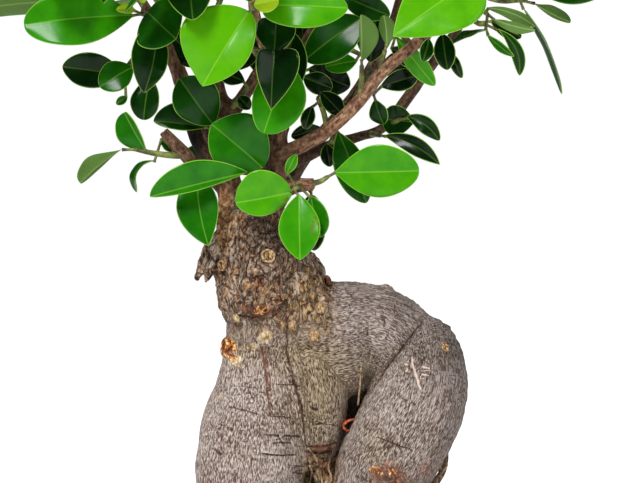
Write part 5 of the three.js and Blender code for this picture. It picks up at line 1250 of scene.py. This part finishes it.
off_blade = 9.0
for name, (twig, leaves) in grown.items():
    spots = along_path(twig, np.arange(25) / 24)[:, :3]
    parts = [bar(twig, 24, 12)]
    blades = [np.full((len(parts[0][0]), 3), off_blade)]
    looks = [np.zeros((len(parts[0][0]), 3))]
    kinds = [np.ones(len(parts[0][1]), int)]
    for k, leaf in enumerate(leaves):
        points, faces, marks = blade_skin(leaf, k + len(name))
        nearest = spots[((spots - leaf["start"]) ** 2).sum(1).argmin()]
        stem = stalk(nearest, leaf["start"] + unit(leaf["end"] - leaf["start"]) * 0.8)
        parts += [(points, faces), stem]
        look = np.tile([leaf["tint"], 0.0, 0.0], (len(points), 1))
        look[len(points) // 2:, 1] = 1
        blades += [marks, np.full((len(stem[0]), 3), off_blade)]
        looks += [look, np.zeros((len(stem[0]), 3))]
        kinds += [np.zeros(len(faces), int), np.ones(len(stem[1]), int)]
    made = piece_of(f"leaves_{name}", parts)
    made.data.materials.append(leaf_skin)
    made.data.materials.append(green_twig)
    made.data.polygons.foreach_set("material_index", np.concatenate(kinds))
    mark(made.data, "blade", np.vstack(blades))
    mark(made.data, "leaf", np.vstack(looks))
    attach(made, "root")
    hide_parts(f"stem_{name}")


# The pot
# An oval bonsai bowl of unglazed brown stoneware, pressed in a mould, with a rolled lip, four low feet and
# two drain holes. It stands on the feet. The photo is cut off above it, so it is finished plainly.
pot_long, pot_deep, pot_high, base_share, roundness = 92.0, 70.0, 64.0, 0.82, 2.5
floor_low, wall, foot_out, hole_at, hole_radius = 6.0, 5.5, 0.62, 34.0, 5.5
# The wall's section, from the middle of the floor's underside out, up and over the lip and down to the floor
# inside: [height, inset].
profile = [
    [6, 50], [6, 30], [6, 4], [6.15, 2], [6.8, 0.7], [8, 0.1], [10, 0], [13, 0], [18, 0], [25, 0], [33, 0],
    [41, 0], [48, 0], [53, 0], [55, -0.1], [55.9, -0.6], [56.5, -1.7], [57, -2.8], [57.9, -3.4],
    [59.4, -3.5], [61.6, -3.5], [62.9, -3.2], [63.7, -2.4], [64, -1.2], [64, 0.6], [64, 2.8], [63.8, 4.1],
    [63.1, 5], [61.8, 5.4], [58, 5.5], [50, 5.5], [40, 5.5], [30, 5.5], [22, 5.5], [16.5, 5.6], [13.6, 6.4],
    [12.3, 8.4], [12, 12], [12, 30], [12, 50]]
foot_section = [[0, 11.8], [0.25, 12.5], [0.9, 12.9], [2, 13], [5, 13], [7, 13]]


def oval(rows, count, shares=1.0):
    """Rings of the bowl for rows of [height, inset]: a superellipse |x/a|^2.5 + |y/b|^2.5 = 1 whose half
    sizes grow with height by 0.82 + 0.18 ((z - 6) / 58)^0.7, drawn in by the inset and scaled by the
    shares."""
    z, inset = np.array(rows, float).T
    grown = base_share + (1 - base_share) * np.clip((z - floor_low) / (pot_high - floor_low), 0, 2) ** 0.7
    turn = np.arange(count) * 2 * np.pi / count
    ring = [np.sign(wave(turn)) * np.abs(wave(turn)) ** (2 / roundness) for wave in (np.cos, np.sin)]
    halves = [(half * grown - inset) * shares for half in (pot_long, pot_deep)]
    return np.stack([halves[0][:, None] * ring[0], halves[1][:, None] * ring[1],
                     np.repeat(z[:, None], count, 1)], -1)


def round_bar(x, y, rows, sides):
    """An upright round bar through rows of [height, radius]."""
    turn = np.arange(sides) * 2 * np.pi / sides
    return tube(np.array([np.stack([x + r * np.cos(turn), y + r * np.sin(turn), np.full(sides, z)], 1)
                          for z, r in rows]))


def carved(made, cutter):
    """Takes the cutter's solid away from an object, and removes the cutter."""
    cut = made.modifiers.new("cut", "BOOLEAN")
    cut.operation = "DIFFERENCE"
    cut.solver = "EXACT"
    cut.use_self = True
    cut.object = cutter
    finished(made)
    bpy.data.objects.remove(cutter)


bowl = piece_of("pot", [tube(oval(profile, 120))])
carved(bowl, piece_of("holes", [round_bar(side * hole_at, 0, [[-2, hole_radius], [20, hole_radius]], 32)
                                for side in (-1, 1)]))
foot_x, foot_y = pot_long * base_share * foot_out, pot_deep * base_share * foot_out
feet = piece_of("feet", [round_bar(i * foot_x, j * foot_y, foot_section, 48)
                         for i in (-1, 1) for j in (-1, 1)])
with bpy.context.temp_override(active_object=bowl, selected_editable_objects=[bowl, feet]):
    bpy.ops.object.join()

# Unglazed stoneware: a brown clay fired until it is hard and dry to the touch, with fine grit and darker
# specks.
stoneware = new_material("unglazed stoneware", 0.75, 0.35)
clay_at = add(stoneware, "TexCoord").outputs["Object"]
cloud = grain(stoneware, clay_at, (0.03, 0.03, 0.02), 3, 0.5)
specks = grain(stoneware, clay_at, (0.0006, 0.0006, 0.0006), 2, 0.6)
clay = add(stoneware, "ValToRGB", cloud, stops=[(0.3, "#5e3a2a"), (0.5, "#744a36"), (0.7, "#875a43")])
speck_share = add(stoneware, "Math MULTIPLY", add(
    stoneware, "Math SUBTRACT", specks, 0.6, use_clamp=True), 3.0, use_clamp=True)
plug(stoneware, Base_Color=add(stoneware, "Mix RGBA", speck_share, clay, "#3a2318"),
     Normal=add(stoneware, "Bump", 0.25, 0.0003, None, specks))
bowl.data.materials.clear()
bowl.data.materials.append(stoneware)
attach(bowl, "root")
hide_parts("pot")


# The drain nets
# Two squares of black plastic net lie on the floor of the pot over its drain holes, under the soil. They
# keep the CAD parts' form, and only their material is finer: moulded plastic, smooth and half glossy.
net = new_material("black plastic net", 0.45, 0.5)
net.node_tree.nodes["Principled BSDF"].inputs["Base Color"].default_value = colour("#232323")
for name in ("drain_mesh_left", "drain_mesh_right"):
    bpy.data.objects[name].data.materials.clear()
    bpy.data.objects[name].data.materials.append(net)


# The soil
# Loose potting mix fills the bowl to just below its lip and rises a little round the roots: crumbs of peat
# and bark with a few pale grains of pumice. The mound under the crumbs is one solid, cut away where roots
# and nets are.
soil_edge, soil_crest, clearance, root_clearance = 56.0, 5.5, 0.3, 0.7
net_room, net_low, net_top = 12.3, 11, 13.8
mound_sides, crumb_count, crumb_field = 96, 3600, [86, 64]
mound = [[12.3, 14], [12.3, 8.6], [14, 6.6], [17, 5.9], [22, 5.8], [30, 5.8], [38, 5.8], [47, 5.8],
         [55.4, 5.8]]


def soil_top(points):
    """The mound's height: 56 + 5.5 (1 - q^2), where q is a point's share of the way out to the rim, in steps
    of the superellipse, and up to a millimetre of unevenness."""
    rim = oval([[soil_edge, wall + clearance]], 4)[0]
    q = (np.abs(points[:, 0] / rim[0, 0]) ** roundness
         + np.abs(points[:, 1] / rim[1, 1]) ** roundness) ** (1 / roundness)
    uneven = noise(np.column_stack([points[:, :2] / 11, np.full(len(points), 3.3)]), 21)
    return soil_edge + soil_crest * np.clip(1 - q ** 2, 0, 1) + uneven * smooth(1, 0.85, q), q


rim_rings = oval([[soil_edge, wall + clearance]] * 30, mound_sides, np.linspace(1, 0.03, 30))
rim_rings[..., 2] = soil_top(rim_rings.reshape(-1, 3))[0].reshape(-1, mound_sides)
soil = piece_of("soil", [tube(np.concatenate([oval(mound, mound_sides), rim_rings]))])
in_soil = [roots[name] for name in ("left", "middle", "right", "back_right", "back_left", "side_rootlet")]
wider = [[[*row[:3], *[half + root_clearance for half in row[3:]]] for row in stations]
         for stations in in_soil]
carved(soil, piece_of("root_room", [bar(stations, 28, 20) for stations in wider]))
square = np.array([[-1, -1], [1, -1], [1, 1], [-1, 1]]) * net_room
carved(soil, piece_of("net_room", [tube(np.array([
    np.column_stack([square + [side * hole_at, 0], np.full(4, z)]) for z in (net_low, net_top)]))
    for side in (-1, 1)]))

# The crumbs: places drawn at random, those kept that are clear of the wood and the wall, and on each one a
# body of twelve corners and twenty sides, drawn out and turned at random, 0.55 to 1.65 mm from its middle to
# a corner.
chance = np.random.default_rng(5)
spread = chance.uniform(-1, 1, (crumb_count * 3, 2)) * crumb_field
height, outness = soil_top(spread)
places = np.column_stack([spread, height])
size = 0.55 + 1.1 * chance.random(len(places)) ** 2.2
clear_of_wood = read_limbs(places, 2.0)[0] > 0.8
kept = np.flatnonzero((outness < 0.985 - size / 90) & clear_of_wood)[:crumb_count]
places, size = places[kept], size[kept]
golden = (1 + 5 ** 0.5) / 2
corner = unit(np.array([[0, i, j * golden] for i in (-1, 1) for j in (-1, 1)]))
corners = np.vstack([np.roll(corner, k, 1) for k in range(3)])
edges = [(a, b) for a in range(12) for b in range(12) if a != b and corners[a] @ corners[b] > 0.4]
sides = [[a, b, c] for a in range(12) for b in range(12) for c in range(12)
         if (a, b) in edges and (b, c) in edges and (a, c) in edges and a < b and a < c
         and np.cross(corners[b] - corners[a], corners[c] - corners[a]) @ corners[a] > 0]
shape = corners[None] * (0.8 + 0.4 * chance.random((len(places), 12, 1)))
shape *= chance.uniform(0.6, 1.25, (len(places), 1, 3))
axis = unit(chance.normal(size=(len(places), 3)))
angle = chance.uniform(0, 2 * np.pi, (len(places), 1, 1))
cross = np.cross(axis[:, None], shape)
shape = shape * np.cos(angle) + cross * np.sin(angle) + axis[:, None] * (
    (shape * axis[:, None]).sum(2, keepdims=True) * (1 - np.cos(angle)))
crumb_points = places[:, None] + shape * size[:, None, None] + [0, 0, 0.1]
crumb_faces = (np.array(sides)[None] + 12 * np.arange(len(places))[:, None, None]).reshape(-1, 3)
crumb_piece = piece_of("soil_crumbs", [(crumb_points.reshape(-1, 3), crumb_faces.tolist())])
mark(crumb_piece.data, "kind", np.repeat(chance.random(len(places)), 12))
mark(soil.data, "kind", np.full(len(soil.data.vertices), 0.2))

# Potting mix: damp peat and composted bark, dull and dark brown, with some grey-white grains of pumice.
mix = new_material("potting mix", 0.92, 0.2)
mix_noise = grain(mix, add(mix, "TexCoord").outputs["Object"], (0.0012, 0.0012, 0.0012), 3, 0.6)
kind_colour = add(mix, "ValToRGB", add(mix, "Attribute", attribute_name="kind").outputs["Fac"], stops=[
    (0, "#2a1e15"), (0.4, "#4a3626"), (0.75, "#6b4a33"), (0.9, "#5a4030"), (0.955, "#5a4030"),
    (0.96, "#b9b0a2"),
    (1, "#d2cabd")])
crumb_shade = add(mix, "ValToRGB", mix_noise, stops=[(0.35, "#6a6058"), (0.6, "#ffffff")])
plug(mix, Base_Color=add(mix, "Mix RGBA", 0.6, kind_colour, crumb_shade, blend_type="MULTIPLY"),
     Normal=add(mix, "Bump", 0.6, 0.0006, None, mix_noise))
for made in (soil, crumb_piece):
    made.data.materials.clear()
    made.data.materials.append(mix)
    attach(made, "root")
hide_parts("soil")


# The floor and the light
# A plain white floor under a sky that is white behind the plant, with three broad soft lights, the strongest
# from the upper left and front.
floor_half = 9000.0
floor_corners = np.array([[-1, -1, 0], [1, -1, 0], [1, 1, 0], [-1, 1, 0]]) * floor_half
floor = piece_of("floor", [(floor_corners, [[0, 1, 2, 3]])])
white = new_material("white card", 0.9, 0.0)
white.node_tree.nodes["Principled BSDF"].inputs["Base Color"].default_value = (0.93, 0.93, 0.93, 1)
floor.data.materials.append(white)

# The sky is grey at the horizon and lighter overhead, dimmer in what the leaves mirror, and white behind the
# plant.
world = bpy.data.worlds.new("studio")
world.use_nodes = True
rays = add(world, "LightPath").outputs
upward = add(world, "SeparateXYZ", add(world, "TexCoord").outputs["Generated"]).outputs["Z"]
sky = add(world, "ValToRGB", upward, stops=[(0.0, (0.2, 0.205, 0.215, 1)), (0.9, (0.8, 0.8, 0.8, 1))])
dimmed = add(world, "Mix RGBA", rays["Is Glossy Ray"], sky, (0.1, 0.105, 0.115, 1))
shown = add(world, "Mix RGBA", rays["Is Camera Ray"], dimmed, (1.02, 1.02, 1.02, 1))
world.node_tree.links.new(result(shown), world.node_tree.nodes["Background"].inputs["Color"])
bpy.context.scene.world = world

# Three broad soft lights: a strong one from the upper left in front, a weak one from the right and one over
# the back. [name, strength, width in degrees, tilt, turn]
for name, strength, width, tilt, turn in (
        ("key", 2.6, 18, 48, -28), ("fill", 0.65, 34, 62, 58), ("top", 0.9, 34, -28, 20)):
    light_data = bpy.data.lights.new(name, "SUN")
    light_data.energy = strength
    light_data.angle = math.radians(width)
    light = bpy.data.objects.new(name, light_data)
    light.rotation_euler = (math.radians(tilt), 0, math.radians(turn))
    bpy.context.scene.collection.objects.link(light)
bpy.context.scene.view_settings.view_transform = "Standard"
